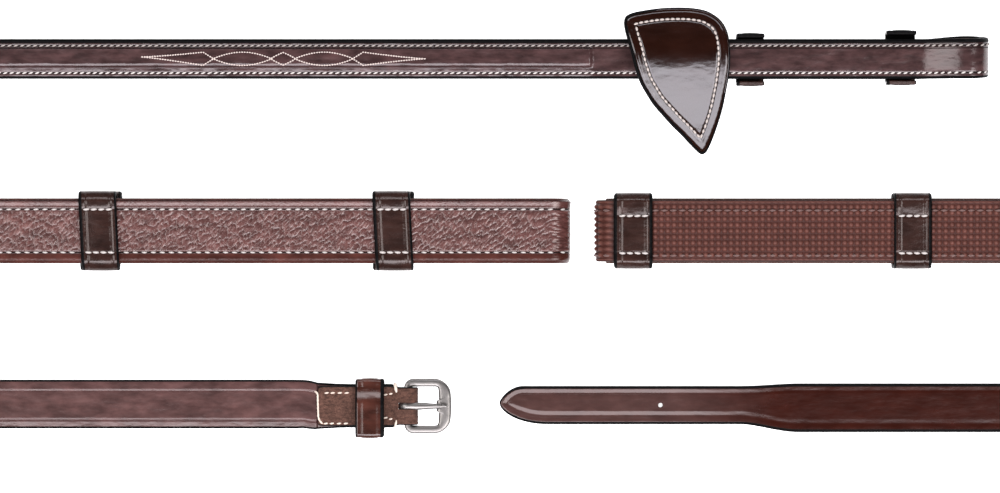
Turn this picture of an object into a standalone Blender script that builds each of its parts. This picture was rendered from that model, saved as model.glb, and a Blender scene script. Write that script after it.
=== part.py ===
"""A pair of leather riding reins with stitched hand stops, laid out in four parallel rows.

The reins are two halves. Half A ends in a buckle and half B in a pointed, punched tip, and they are
unbuckled. Each half is one long strap: buckle or tip end, hand grip, bit end. It lies in rows along X,
joined by U-turns in which the strap stands on its edge, and by one fold in the middle of the grip:

    row 0 (top)      bit end of half B
    row 1            bit end of half A
    row 2            the two grips, each folded back under itself
    row 3 (bottom)   buckle end of half A on the left, tip end of half B on the right

All dimensions below are in millimetres, in the layout's own plane. place() puts them in metres about
the centre of the whole layout, with the lowest point at Z = 0.
"""

import math

import bmesh
import bpy
from mathutils import Matrix, Vector

MM = 0.001
LAYOUT_CENTRE = Vector((19.6, 36.8, 0.0))
CLEARANCE = 0.3
BELOW_ALL = -1.0
ABOVE_ALL = 12.0

# cross sections: the nearest two that are kept apart, and the nearest to a given end
STATION_GAP = 0.05
END_GAP = 0.6

# rows, and where the straight runs end and start to twist on edge
BIT_ROW_B = 120.3
BIT_ROW_A = 62.6
GRIP_ROW = 5.2
BUCKLE_ROW = -52.7
NECK_ROW = -53.3
TIP_ROW = -53.1
TIP_ROW_WIDE = -54.0
TWIST_LENGTH = 60.0
LEFT_TWIST = -172.7
LEFT_TURN = LEFT_TWIST - TWIST_LENGTH
RIGHT_TWIST = 183.0
RIGHT_TURN = RIGHT_TWIST + TWIST_LENGTH
TURN_HEIGHT = 15.2

# hand grip: a leather face, a core strap and a rubber back
GRIP_PLY = 1.2
GRIP_CORE = 1.5
GRIP_CORE_HALF_WIDTH = 9.6
LEATHER_HALF_WIDTH = 10.85
RUBBER_HALF_WIDTH = 10.3
GRIP_HALF = GRIP_CORE / 2 + CLEARANCE + GRIP_PLY
LEG_OFFSET = 4.35
GRIP_HEIGHT = 8.55
FOLD_A = 23.3
FOLD_B = 32.0
JUNCTION_GAP = 1.0

# hand stops: sewn leather bands round the grip
STOP_LENGTH = 12.6
STOP_LEATHER = 1.6
STOP_HALF_WIDTH_A = 13.4
STOP_HALF_WIDTH_B = 12.7
STOPS_A = (-133.3, -35.6)
STOPS_B = (137.2, 44.4)
STOPS_B_HIDDEN = (137.2,)
TURN_STOP = 9.0

# bit end: two plies sewn together, round the bit ring and back underneath as a billet
BIT_HALF_WIDTH = 6.65
BIT_PLY = 1.45
BIT_HALF = BIT_PLY + CLEARANCE / 2
BIT_HEIGHT = 7.0
BILLET_HEIGHT = 3.3
BIT_LOOP_END = 163.0
BIT_LOOP_RADIUS = 5.1
BIT_LOOP_FOOT = 1.7
BIT_LOOP_SKEW = 1.2
BIT_CLIMB = 139.2
BILLET_END = 76.0
PANEL_END = 30.2
PANEL_HALF_WIDTH = 3.3
PANEL_RAISE = 0.9
PANEL_BEVEL = 0.5
PANEL_TRACE = 0.02
FILLER_HALF_WIDTH = 3.0
FILLER = 0.6

# bit loop keepers, and the hook stud that holds the billet
KEEPERS = (("inner", 79.0, 88.3), ("outer", 129.0, 139.0))
KEEPER_LEATHER = 1.4
KEEPER_ARM_TOP = 1.0
STUD_AT = 106.0
STUD_RADIUS = 1.5
STUD_HEAD = 1.1
STUD_HOOK_LENGTH = 9.0
STUD_HOOK_HALF_WIDTH = 2.6
STUD_HOOK_CORNER = 2.2
STUD_HOLE_RADIUS = 1.9
BILLET_SLOT_LENGTH = 11.0
BILLET_SLOT_HALF_WIDTH = 3.0
OVERCUT = 0.2

# martingale stop: a leather shield over the strap, held by a loop
STOP_BACKING = 1.2
STOP_FACE = 1.6
STOP_RIDGE = 10.3
STOP_SLOPE = math.tan(math.radians(15.0))
STOP_SOFTNESS = 2.0
STOP_BENDS = range(-28, 16, 4)
STOP_LOOP = (49.0, 68.0)
STOP_LOOP_LEATHER = 1.4
STOP_LOOP_TOP = 8.2
SHIELD = ((41.3, 12.3), (42.0, 14.2), (44.5, 15.4), (48.5, 16.2), (54.0, 16.9), (60.0, 17.1),
          (65.0, 16.8), (69.0, 15.9), (72.4, 13.9), (74.6, 11.4), (76.0, 7.9), (76.6, 3.0),
          (76.6, -2.0), (76.2, -6.0), (75.4, -11.0), (74.2, -17.0), (72.6, -22.5), (71.0, -27.0),
          (69.6, -30.2), (68.7, -31.4), (67.6, -31.8), (66.4, -31.2), (63.9, -28.8), (60.6, -25.4),
          (57.2, -22.1), (54.2, -18.8), (51.2, -15.4), (48.7, -11.6), (46.6, -7.8), (44.9, -3.0),
          (43.6, 2.0), (42.5, 6.0), (41.6, 9.5))

# buckle end: one strap, skived and folded round the buckle's bar
STRAP_HALF = 1.6
STRAP_HALF_WIDTH = 8.15
STRAP_HEIGHT = 3.3
SKIVED_HALF = 0.9
SKIVED_HEIGHT = 2.8
NECK_HALF_WIDTH = 7.3
BAR_END_HALF_WIDTH = 6.3
BAR_END_REACH = (2.6, 5.6)
NECK_START = -70.0
NECK_END = -50.0
TURNBACK_END = -60.7
SKIVE_START = -61.5
SKIVE_END = -66.0
BAR_AT = -30.9
BAR = 2.2
BAR_HEIGHT = 5.4
BAR_FOLD_RADIUS = 2.6
TURNBACK_HEIGHT = 4.9
TURNBACK_DROP = 6.0
TONGUE_SLOT = (-33.9, -26.0)
TONGUE_SLOT_HALF_WIDTH = 1.1
FRAME_END = -16.2
FRAME_HALF_WIDTH = 9.2
FRAME_ARM = 2.45
FRAME_TOE = 4.5
FRAME_CORNER = 3.0
FRAME_TOE_CORNER = 4.8
FRAME_INNER_CORNER = 1.0
FRAME_BOW = 0.9
TONGUE_RADIUS = 0.7
TONGUE_EYE = 2.4
TONGUE_EYE_START = -20.0
TONGUE_EYE_SWEEP = -250.0
TONGUE_EYE_STEPS = 14
TONGUE_BEND = 4.0
TONGUE_TIP = -17.4
LOOSE_KEEPER = (-48.3, -38.7)
LOOSE_KEEPER_HALF_WIDTH = 9.65
LOOSE_KEEPER_LEATHER = 1.35
LOOSE_KEEPER_SHIFT = 0.7

# tip end
TIP_AT = -0.2
TIP_HEIGHT = 1.8
TIP_HALF_WIDTH = 6.4
TIP_APEX = 0.9
TIP_UPPER_ROUND = 8.0
TIP_UPPER_FULLNESS = 0.77
TIP_LOWER_ROUND = 16.0
TIP_LOWER_FULLNESS = 0.55
TIP_BLUNT = 0.06
TIP_HOLE_AT = 53.7
TIP_HOLE_RADIUS = 0.75
TIP_WIDENS = (80.0, 100.0)

# centres of the U-turns
TURN_A_LOW = ((BUCKLE_ROW + GRIP_ROW - LEG_OFFSET) / 2, (GRIP_ROW - LEG_OFFSET - BUCKLE_ROW) / 2)
TURN_A_HIGH = ((GRIP_ROW + LEG_OFFSET + BIT_ROW_A) / 2, (BIT_ROW_A - GRIP_ROW - LEG_OFFSET) / 2)
TURN_B_LOW = ((TIP_ROW_WIDE + GRIP_ROW - LEG_OFFSET) / 2, (GRIP_ROW - LEG_OFFSET - TIP_ROW_WIDE) / 2)
TURN_B_HIGH = ((GRIP_ROW + LEG_OFFSET + BIT_ROW_B) / 2, (BIT_ROW_B - GRIP_ROW - LEG_OFFSET) / 2)

BROWN = (0.095, 0.045, 0.035, 1.0)
DARK_BROWN = (0.055, 0.025, 0.018, 1.0)
RUBBER = (0.15, 0.075, 0.06, 1.0)
STEEL = (0.62, 0.61, 0.59, 1.0)


# ---------------------------------------------------------------- paths

def ease(k):
    return k * k * (3 - 2 * k)


def eased(x, start, end):
    """0 before start, 1 after end, and a smooth change between them."""
    return ease(min(max((x - start) / (end - start), 0.0), 1.0))


def leg(x0, x1, y0, y1, z0, z1, turn0=0.0, turn1=0.0, offset=0.0, face=1):
    """A run along X. turn is the angle of the strap's upper side from +Z towards -Y, in degrees.

    offset is the distance from the run's axis to the strap along that direction, and face is -1
    where the grain side is the lower one.
    """
    def point(k):
        angle = math.radians(turn0 + (turn1 - turn0) * ease(k))
        up = Vector((0.0, -math.sin(angle), math.cos(angle)))
        axis = Vector((x0 + (x1 - x0) * k, y0 + (y1 - y0) * ease(k), z0 + (z1 - z0) * ease(k)))
        return axis + offset * up, face * up

    curved = turn0 != turn1 or z0 != z1 or y0 != y1
    return abs(x1 - x0), 6.0 if curved else abs(x1 - x0), point


def turn(x, centre, z, start, sweep, face):
    """A U-turn on edge, about a vertical axis. face is -1 where the grain side is inward."""
    y, radius = centre

    def point(k):
        angle = math.radians(start + sweep * k)
        out = Vector((math.cos(angle), math.sin(angle), 0.0))
        return Vector((x, y, z)) + radius * out, face * out

    return radius * math.radians(abs(sweep)), 5.0, point


def fold(x, y0, y1, z, radius, heading, face):
    """A fold from an upper run to a lower one, about a horizontal axis across the strap."""
    def point(k):
        angle = math.pi * k
        out = Vector((heading * math.sin(angle), 0.0, math.cos(angle)))
        return Vector((x, y0 + (y1 - y0) * ease(k), z)) + radius * out, face * out

    return math.pi * radius, math.pi * radius / 8, point


class Path:
    """A strap's centre line, made of named pieces, with the direction that its grain side faces."""

    def __init__(self, **pieces):
        self.pieces = []
        start = 0.0
        for name, (length, step, point) in pieces.items():
            self.pieces.append((name, start, length, step, point))
            start += length
        self.length = start

    def start(self, name):
        return next(piece[1] for piece in self.pieces if piece[0] == name)

    def middle(self, name):
        return next(piece[1] + piece[2] / 2 for piece in self.pieces if piece[0] == name)

    def at_x(self, name, x):
        """The distance along the path of the point of a straight run that has this X."""
        start, point = next((piece[1], piece[4]) for piece in self.pieces if piece[0] == name)
        return start + abs(x - point(0.0)[0].x)

    def frame(self, s):
        """Position, and the unit vectors across the strap and out of its grain side."""
        index = max(i for i, piece in enumerate(self.pieces) if i == 0 or piece[1] <= s + 1e-6)
        _, start, length, _, point = self.pieces[index]
        k = (s - start) / length
        position, up = point(k)
        along = (point(k + 0.001)[0] - point(k - 0.001)[0]).normalized()
        up = (up - up.dot(along) * along).normalized()
        return position, up.cross(along), up

    def stations(self, s0, s1, extra=()):
        """Where the strap needs a cross section between s0 and s1: close together in its curves."""
        found = {round(s0, 4), round(s1, 4)}
        found.update(round(s, 4) for s in extra)
        for _, start, length, step, _ in self.pieces:
            count = max(1, math.ceil(length / step - 1e-6))
            marks = [start + length * i / count for i in range(count + 1)]
            found.update(round(s, 4) for s in marks if s0 + END_GAP < s < s1 - END_GAP)
        ordered = sorted(found)
        kept = [ordered[0]]
        for s in ordered[1:]:
            if s - kept[-1] > STATION_GAP:
                kept.append(s)
        return kept


def bit_loop(sign, row, skew):
    """The last pieces of both paths: bit row, bit loop and the billet under it."""
    centre = BIT_LOOP_END - BIT_LOOP_RADIUS - BIT_HALF
    top = BIT_LOOP_FOOT + 2 * BIT_LOOP_RADIUS
    return {
        "bit_row": leg(sign * LEFT_TWIST if sign > 0 else RIGHT_TWIST, sign * BIT_CLIMB, row, row,
                       BIT_HEIGHT, BIT_HEIGHT),
        "climb": leg(sign * BIT_CLIMB, sign * centre, row, row, BIT_HEIGHT, top),
        "bit_fold": fold(sign * centre, row, row + skew, BIT_LOOP_FOOT + BIT_LOOP_RADIUS,
                         BIT_LOOP_RADIUS, sign, 1),
        "return": leg(sign * centre, sign * BIT_CLIMB, row + skew, row, BIT_LOOP_FOOT, BILLET_HEIGHT,
                      face=-1),
        "billet": leg(sign * BIT_CLIMB, sign * BILLET_END, row, row, BILLET_HEIGHT, BILLET_HEIGHT,
                      face=-1),
    }


def path_a():
    low, high = GRIP_ROW, TURN_HEIGHT
    fold_x = FOLD_A - LEG_OFFSET - GRIP_HALF
    drop = BAR_AT - TURNBACK_DROP
    upper = BAR_HEIGHT + BAR_FOLD_RADIUS
    return Path(
        turnback=leg(TURNBACK_END, drop, NECK_ROW, NECK_ROW, TURNBACK_HEIGHT, TURNBACK_HEIGHT, face=-1),
        rise=leg(drop, BAR_AT, NECK_ROW, NECK_ROW, TURNBACK_HEIGHT, upper, face=-1),
        bar_fold=fold(BAR_AT, NECK_ROW, NECK_ROW, BAR_HEIGHT, BAR_FOLD_RADIUS, 1, -1),
        neck=leg(BAR_AT, SKIVE_START, NECK_ROW, NECK_ROW, SKIVED_HEIGHT, SKIVED_HEIGHT),
        skive=leg(SKIVE_START, SKIVE_END, NECK_ROW, BUCKLE_ROW, SKIVED_HEIGHT, STRAP_HEIGHT),
        strap=leg(SKIVE_END, LEFT_TWIST, BUCKLE_ROW, BUCKLE_ROW, STRAP_HEIGHT, STRAP_HEIGHT),
        twist_1=leg(LEFT_TWIST, LEFT_TURN, BUCKLE_ROW, BUCKLE_ROW, STRAP_HEIGHT, high, 0.0, -90.0),
        turn_1=turn(LEFT_TURN, TURN_A_LOW, high, -90.0, -180.0, -1),
        twist_2=leg(LEFT_TURN, LEFT_TWIST, low, low, high, GRIP_HEIGHT, 90.0, 0.0, LEG_OFFSET),
        upper=leg(LEFT_TWIST, fold_x, low, low, GRIP_HEIGHT, GRIP_HEIGHT, offset=LEG_OFFSET),
        grip_fold=fold(fold_x, low, low, GRIP_HEIGHT, LEG_OFFSET, 1, 1),
        lower=leg(fold_x, LEFT_TWIST, low, low, GRIP_HEIGHT, GRIP_HEIGHT, offset=-LEG_OFFSET, face=-1),
        twist_3=leg(LEFT_TWIST, LEFT_TURN, low, low, GRIP_HEIGHT, high, 0.0, 90.0, -LEG_OFFSET, -1),
        turn_2=turn(LEFT_TURN, TURN_A_HIGH, high, -90.0, -180.0, -1),
        twist_4=leg(LEFT_TURN, LEFT_TWIST, BIT_ROW_A, BIT_ROW_A, high, BIT_HEIGHT, 90.0, 0.0),
        **bit_loop(1, BIT_ROW_A, BIT_LOOP_SKEW),
    )


def path_b():
    low, high = GRIP_ROW, TURN_HEIGHT
    fold_x = FOLD_B + LEG_OFFSET + GRIP_HALF
    narrow_end, wide_start = TIP_WIDENS
    return Path(
        tip=leg(TIP_AT, narrow_end, TIP_ROW, TIP_ROW, TIP_HEIGHT, TIP_HEIGHT),
        widening=leg(narrow_end, wide_start, TIP_ROW, TIP_ROW_WIDE, TIP_HEIGHT, TIP_HEIGHT),
        strap=leg(wide_start, RIGHT_TWIST, TIP_ROW_WIDE, TIP_ROW_WIDE, TIP_HEIGHT, TIP_HEIGHT),
        twist_1=leg(RIGHT_TWIST, RIGHT_TURN, TIP_ROW_WIDE, TIP_ROW_WIDE, TIP_HEIGHT, high, 0.0, 90.0),
        turn_1=turn(RIGHT_TURN, TURN_B_LOW, high, -90.0, 180.0, 1),
        twist_2=leg(RIGHT_TURN, RIGHT_TWIST, low, low, high, GRIP_HEIGHT, 90.0, 0.0, LEG_OFFSET, -1),
        upper=leg(RIGHT_TWIST, fold_x, low, low, GRIP_HEIGHT, GRIP_HEIGHT, offset=LEG_OFFSET, face=-1),
        grip_fold=fold(fold_x, low, low, GRIP_HEIGHT, LEG_OFFSET, -1, -1),
        lower=leg(fold_x, RIGHT_TWIST, low, low, GRIP_HEIGHT, GRIP_HEIGHT, offset=-LEG_OFFSET),
        twist_3=leg(RIGHT_TWIST, RIGHT_TURN, low, low, GRIP_HEIGHT, high, 0.0, 90.0, -LEG_OFFSET),
        turn_2=turn(RIGHT_TURN, TURN_B_HIGH, high, -90.0, 180.0, 1),
        twist_4=leg(RIGHT_TURN, RIGHT_TWIST, BIT_ROW_B, BIT_ROW_B, high, BIT_HEIGHT, -90.0, 0.0),
        **bit_loop(-1, BIT_ROW_B, BIT_LOOP_SKEW),
    )


# ---------------------------------------------------------------- building tools

for thing in list(bpy.data.objects):
    bpy.data.objects.remove(thing, do_unlink=True)

PARTS = bpy.data.collections.new("leather_reins")
CUTTERS = bpy.data.collections.new("cutters")
bpy.context.scene.collection.children.link(PARTS)
bpy.context.scene.collection.children.link(CUTTERS)


def place(point):
    """A point of the layout in metres, about the layout's centre."""
    return (Vector(point) - LAYOUT_CENTRE) * MM


def pivot(name, point, parent=None):
    """An empty on a moving body's joint axis. The body's pieces are parented to it."""
    empty = bpy.data.objects.new(name, None)
    empty.empty_display_size = 0.01
    PARTS.objects.link(empty)
    empty.location = place(point)
    if parent:
        empty.parent = parent
        empty.location = place(point) - world_place(parent)
    return empty


def world_place(thing):
    total = Vector(thing.location)
    while thing.parent:
        thing = thing.parent
        total += thing.location
    return total


def finish(name, mesh, body, colour, roughness=0.5, metallic=0.0):
    """Put a mesh that is in metres in the scene, with its origin on its body's pivot."""
    for vertex in mesh.vertices:
        vertex.co -= world_place(body)
    thing = bpy.data.objects.new(name, mesh)
    PARTS.objects.link(thing)
    thing.parent = body
    material = bpy.data.materials.new(name)
    material.use_nodes = True
    shader = material.node_tree.nodes["Principled BSDF"]
    shader.inputs["Base Color"].default_value = colour
    shader.inputs["Roughness"].default_value = roughness
    shader.inputs["Metallic"].default_value = metallic
    mesh.materials.append(material)
    return thing


def mesh_from(bm, name):
    bmesh.ops.recalc_face_normals(bm, faces=bm.faces)
    mesh = bpy.data.meshes.new(name)
    bm.to_mesh(mesh)
    bm.free()
    return mesh


def sweep(name, path, stations, section):
    """Loft a section along a path. section(s) is the outline there, as (across, up) points.

    Each side is split along the diagonal from the lower to the higher across, so that two layers
    keep their gap where the strap twists.
    """
    bm = bmesh.new()
    rings = []
    for s in stations:
        position, across, up = path.frame(s)
        outline = section(s)
        rings.append([bm.verts.new(place(position + across * t + up * n)) for t, n in outline])
    count = len(outline)
    for near, far in zip(rings, rings[1:]):
        for i in range(count):
            j = (i + 1) % count
            low, high = (i, j) if outline[i][0] <= outline[j][0] else (j, i)
            bm.faces.new((near[low], near[high], far[high]))
            bm.faces.new((near[low], far[high], far[low]))
    bm.faces.new(rings[0])
    bm.faces.new(rings[-1])
    return mesh_from(bm, name)


def band(name, path, s0, s1, inner, outer):
    """A closed loop of leather round a path. inner and outer are (low t, high t, low n, high n)."""
    bm = bmesh.new()
    rings = []
    count = 4
    for step in range(count):
        position, across, up = path.frame(s0 + (s1 - s0) * step / (count - 1))
        ring = []
        for t0, t1, n0, n1 in (inner, outer):
            corners = ((t0, n0), (t1, n0), (t1, n1), (t0, n1))
            ring.append([bm.verts.new(place(position + across * t + up * n)) for t, n in corners])
        rings.append(ring)
    for i in range(4):
        j = (i + 1) % 4
        for near, far in zip(rings, rings[1:]):
            bm.faces.new((near[0][i], near[0][j], far[0][j], far[0][i]))
            bm.faces.new((near[1][i], near[1][j], far[1][j], far[1][i]))
        for inside, outside in (rings[0], rings[-1]):
            bm.faces.new((inside[i], inside[j], outside[j], outside[i]))
    return mesh_from(bm, name)


def rectangle(half_width, low, high, columns=(-1.0, 0.0, 1.0)):
    """A flat outline with a point at each column, given as a share of the half width."""
    below = [(half_width * c, low) for c in columns]
    above = [(half_width * c, high) for c in reversed(columns)]
    return below + above


def link_cutter(thing):
    CUTTERS.objects.link(thing)
    thing.hide_render = True
    thing.display_type = "WIRE"
    return thing


def box_cutter(name, low, high):
    low, high = place(low), place(high)
    bm = bmesh.new()
    bmesh.ops.create_cube(bm, size=1.0)
    bmesh.ops.scale(bm, vec=high - low, verts=bm.verts)
    bmesh.ops.translate(bm, vec=(low + high) / 2, verts=bm.verts)
    return link_cutter(bpy.data.objects.new(name, mesh_from(bm, name)))


def post(name, centre, radius, low, high):
    """An upright round bar."""
    bm = bmesh.new()
    bmesh.ops.create_cone(bm, cap_ends=True, segments=24, radius1=radius * MM, radius2=radius * MM,
                          depth=(high - low) * MM)
    bmesh.ops.translate(bm, vec=place((centre[0], centre[1], (low + high) / 2)), verts=bm.verts)
    return mesh_from(bm, name)


def cut(thing, cutter, operation="DIFFERENCE"):
    modifier = thing.modifiers.new(cutter.name, "BOOLEAN")
    modifier.operation = operation
    modifier.object = cutter


def mesh_of(curve):
    """The curve object's surface as a closed mesh in the layout's metres; the curve is removed."""
    PARTS.objects.link(curve)
    evaluated = curve.evaluated_get(bpy.context.evaluated_depsgraph_get())
    mesh = bpy.data.meshes.new_from_object(evaluated)
    mesh.transform(curve.matrix_world)
    bpy.data.objects.remove(curve)
    bm = bmesh.new()
    bm.from_mesh(mesh)
    bmesh.ops.remove_doubles(bm, verts=bm.verts, dist=0.000002)
    return mesh_from(bm, mesh.name)


def add_spline(curve, points, closed):
    spline = curve.splines.new("POLY")
    spline.points.add(len(points) - 1)
    for target, point in zip(spline.points, points):
        target.co = (*point, 1.0)
    spline.use_cyclic_u = closed


def flat_outline(name, outlines, thickness):
    """A plate between closed outlines in layout millimetres; a second outline is a hole in it."""
    curve = bpy.data.curves.new(name, "CURVE")
    curve.dimensions = "2D"
    curve.fill_mode = "BOTH"
    curve.extrude = thickness / 2 * MM
    for outline in outlines:
        add_spline(curve, [place((x, y, 0.0)) for x, y in outline], True)
    return mesh_of(bpy.data.objects.new(name, curve))


def rounded(x0, x1, y0, y1, radius, far_radius, bow=0.0, steps=4):
    """A rectangle with round corners, whose side at x1 bows outward. far_radius is for that side."""
    points = []
    for cx, cy, start in ((x1, y1, 0), (x0, y1, 90), (x0, y0, 180), (x1, y0, 270)):
        corner = far_radius if cx == x1 else radius
        centre = (cx - math.copysign(corner, cx - (x0 + x1) / 2),
                  cy - math.copysign(corner, cy - (y0 + y1) / 2))
        for i in range(steps + 1):
            angle = math.radians(start + 90 * i / steps)
            points.append((centre[0] + corner * math.cos(angle), centre[1] + corner * math.sin(angle)))
    middle = (y0 + y1) / 2
    reach = (y1 - y0) / 2
    if bow:
        points += [(x1, middle + share * (y1 - y0)) for share in (-0.18, 0.0, 0.18)]
        points = [(x + bow * (1 - ((y - middle) / reach) ** 2) * (x > (x0 + x1) / 2), y) for x, y in points]
    return points


# ---------------------------------------------------------------- hand grips

def grip(half, path, body, stop_half_width, hidden_stops, shown_stops):
    """The grip's three layers, from the middle of one U-turn to the middle of the next, and its stops."""
    s0 = path.middle("turn_1") + JUNCTION_GAP / 2
    s1 = path.middle("turn_2") - JUNCTION_GAP / 2
    stations = path.stations(s0, s1)
    core = GRIP_CORE / 2
    ply = core + CLEARANCE
    layers = (
        (f"grip_core_{half}", GRIP_CORE_HALF_WIDTH, -core, core, BROWN, 0.6),
        (f"grip_leather_{half}", LEATHER_HALF_WIDTH, ply, GRIP_HALF, BROWN, 0.4),
        (f"grip_rubber_{half}", RUBBER_HALF_WIDTH, -GRIP_HALF, -ply, RUBBER, 0.7),
    )
    for name, half_width, low, high, colour, roughness in layers:
        section = rectangle(half_width, low, high)
        finish(name, sweep(name, path, stations, lambda s: section), body, colour, roughness)
    places = [path.start("twist_2") - TURN_STOP]
    places += [path.at_x("upper", x) for x in shown_stops]
    places += [path.at_x("lower", x) for x in hidden_stops]
    places += [path.start("turn_2") + TURN_STOP]
    inside = (-LEATHER_HALF_WIDTH - CLEARANCE, LEATHER_HALF_WIDTH + CLEARANCE,
              -GRIP_HALF - CLEARANCE, GRIP_HALF + CLEARANCE)
    thick = GRIP_HALF + CLEARANCE + STOP_LEATHER
    outside = (-stop_half_width, stop_half_width, -thick, thick)
    for number, s in enumerate(places, 1):
        name = f"hand_stop_{half}{number}"
        mesh = band(name, path, s - STOP_LENGTH / 2, s + STOP_LENGTH / 2, inside, outside)
        finish(name, mesh, body, DARK_BROWN, 0.35)


# ---------------------------------------------------------------- bit ends

def bit_strap(half, sign, row, path, body):
    """Outer ply with its raised panel, lining, filler under the panel, and the slots for the stud."""
    s0 = path.middle("turn_2") + JUNCTION_GAP / 2
    panel_end = path.at_x("bit_row", sign * PANEL_END)
    stations = path.stations(s0, path.length, (panel_end, panel_end + PANEL_BEVEL))
    low = CLEARANCE / 2
    foot = PANEL_HALF_WIDTH + PANEL_BEVEL

    def outer_section(s):
        lift = PANEL_RAISE if s < panel_end + PANEL_BEVEL / 2 else PANEL_TRACE
        return ((-BIT_HALF_WIDTH, low), (-foot, low), (-PANEL_HALF_WIDTH, low + lift),
                (PANEL_HALF_WIDTH, low + lift), (foot, low), (BIT_HALF_WIDTH, low),
                (BIT_HALF_WIDTH, BIT_HALF), (foot, BIT_HALF), (PANEL_HALF_WIDTH, BIT_HALF + lift),
                (-PANEL_HALF_WIDTH, BIT_HALF + lift), (-foot, BIT_HALF), (-BIT_HALF_WIDTH, BIT_HALF))

    lining_section = rectangle(BIT_HALF_WIDTH, -BIT_HALF, -low, (-1.0, -0.5, 0.5, 1.0))
    filler_section = rectangle(FILLER_HALF_WIDTH, low, low + FILLER, (-1.0, 1.0))
    filler_stations = path.stations(s0, panel_end - CLEARANCE)
    name = f"bit_strap_{half}"
    outer = finish(name, sweep(name, path, stations, outer_section), body, BROWN, 0.35)
    name = f"bit_lining_{half}"
    lining = finish(name, sweep(name, path, stations, lambda s: lining_section), body, BROWN, 0.6)
    name = f"panel_filler_{half}"
    finish(name, sweep(name, path, filler_stations, lambda s: filler_section), body, BROWN, 0.7)

    x = sign * STUD_AT
    reach = BILLET_SLOT_LENGTH / 2
    hook = x + sign * (STUD_HOOK_LENGTH - STUD_HOOK_HALF_WIDTH) / 2
    slot = box_cutter(f"billet_slot_{half}", (hook - reach, row - BILLET_SLOT_HALF_WIDTH, BELOW_ALL),
                      (hook + reach, row + BILLET_SLOT_HALF_WIDTH, BILLET_HEIGHT + BIT_HALF + OVERCUT))
    hole_name = f"stud_hole_{half}"
    hole = post(hole_name, (x, row), STUD_HOLE_RADIUS, BILLET_HEIGHT + BIT_HALF + OVERCUT / 2, BIT_HEIGHT)
    hole = link_cutter(bpy.data.objects.new(hole_name, hole))
    cut(outer, slot)
    cut(lining, slot)
    cut(lining, hole)


def hook_stud(half, sign, row, body):
    """A post through the lining and the billet's slot, with a flat hook under the billet."""
    x = sign * STUD_AT
    under = BILLET_HEIGHT - BIT_HALF - CLEARANCE
    name = f"hook_stud_{half}"
    mesh = post(name, (x, row), STUD_RADIUS, under - STUD_HEAD / 2, BIT_HEIGHT - CLEARANCE / 2 - CLEARANCE)
    stud = finish(name, mesh, body, STEEL, 0.3, 1.0)
    ends = sorted((x - sign * STUD_HOOK_HALF_WIDTH, x + sign * (STUD_HOOK_LENGTH - STUD_HOOK_HALF_WIDTH)))
    outline = rounded(ends[0], ends[1], row - STUD_HOOK_HALF_WIDTH, row + STUD_HOOK_HALF_WIDTH,
                      STUD_HOOK_CORNER, STUD_HOOK_CORNER)
    head = flat_outline(f"stud_head_{half}", [outline], STUD_HEAD)
    head = link_cutter(bpy.data.objects.new(f"stud_head_{half}", head))
    head.location.z = (under - STUD_HEAD / 2) * MM
    cut(stud, head, "UNION")


def bit_keepers(half, sign, path, body):
    """Two U-shaped keepers, from the strap's edges round under the billet."""
    inner = BIT_HALF_WIDTH + CLEARANCE
    outer = inner + KEEPER_LEATHER
    floor = BILLET_HEIGHT - BIT_HALF - CLEARANCE - BIT_HEIGHT
    low = floor - KEEPER_LEATHER
    section = ((-outer, low), (outer, low), (outer, KEEPER_ARM_TOP), (inner, KEEPER_ARM_TOP),
               (inner, floor), (-inner, floor), (-inner, KEEPER_ARM_TOP), (-outer, KEEPER_ARM_TOP))
    for place_name, x0, x1 in KEEPERS:
        name = f"{place_name}_keeper_{half}"
        stations = [path.at_x("bit_row", sign * x) for x in (x0, x1)]
        finish(name, sweep(name, path, stations, lambda s: section), body, DARK_BROWN, 0.35)


def roof(y):
    """Height of the martingale stop's underside at a distance y from the strap's centre line."""
    return STOP_RIDGE - (math.hypot(y, STOP_SOFTNESS) - STOP_SOFTNESS) * STOP_SLOPE


def shield_plate(name, sign, row, body, low, thickness, colour):
    """A leather shield, bent like a soft roof over the strap. low is its height above the roof."""
    mesh = flat_outline(name, [[(sign * x, row + y) for x, y in SHIELD]], thickness)
    bm = bmesh.new()
    bm.from_mesh(mesh)
    centre_y = place((0.0, row, 0.0)).y
    for y in STOP_BENDS:
        geometry = list(bm.verts) + list(bm.edges) + list(bm.faces)
        bmesh.ops.bisect_plane(bm, geom=geometry, dist=1e-7, plane_co=(0.0, centre_y + y * MM, 0.0),
                               plane_no=(0.0, 1.0, 0.0))
    for vertex in bm.verts:
        away = (vertex.co.y - centre_y) / MM
        vertex.co.z += (roof(away) + low + thickness / 2) * MM
    finish(name, mesh_from(bm, name), body, colour, 0.3)


def martingale_stop(half, sign, row, path, body):
    shield_plate(f"martingale_stop_backing_{half}", sign, row, body, 0.0, STOP_BACKING, DARK_BROWN)
    shield_plate(f"martingale_stop_face_{half}", sign, row, body, STOP_BACKING + CLEARANCE, STOP_FACE, BROWN)
    inner = BIT_HALF_WIDTH + CLEARANCE
    outer = inner + STOP_LOOP_LEATHER
    floor = -BIT_HALF - CLEARANCE
    low = floor - STOP_LOOP_LEATHER
    top = STOP_LOOP_TOP - BIT_HEIGHT
    section = ((-outer, low), (outer, low), (outer, top), (inner, top),
               (inner, floor), (-inner, floor), (-inner, top), (-outer, top))
    name = f"martingale_stop_loop_{half}"
    stations = [path.at_x("bit_row", sign * x) for x in STOP_LOOP]
    finish(name, sweep(name, path, stations, lambda s: section), body, DARK_BROWN, 0.5)


# ---------------------------------------------------------------- buckle end

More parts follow.
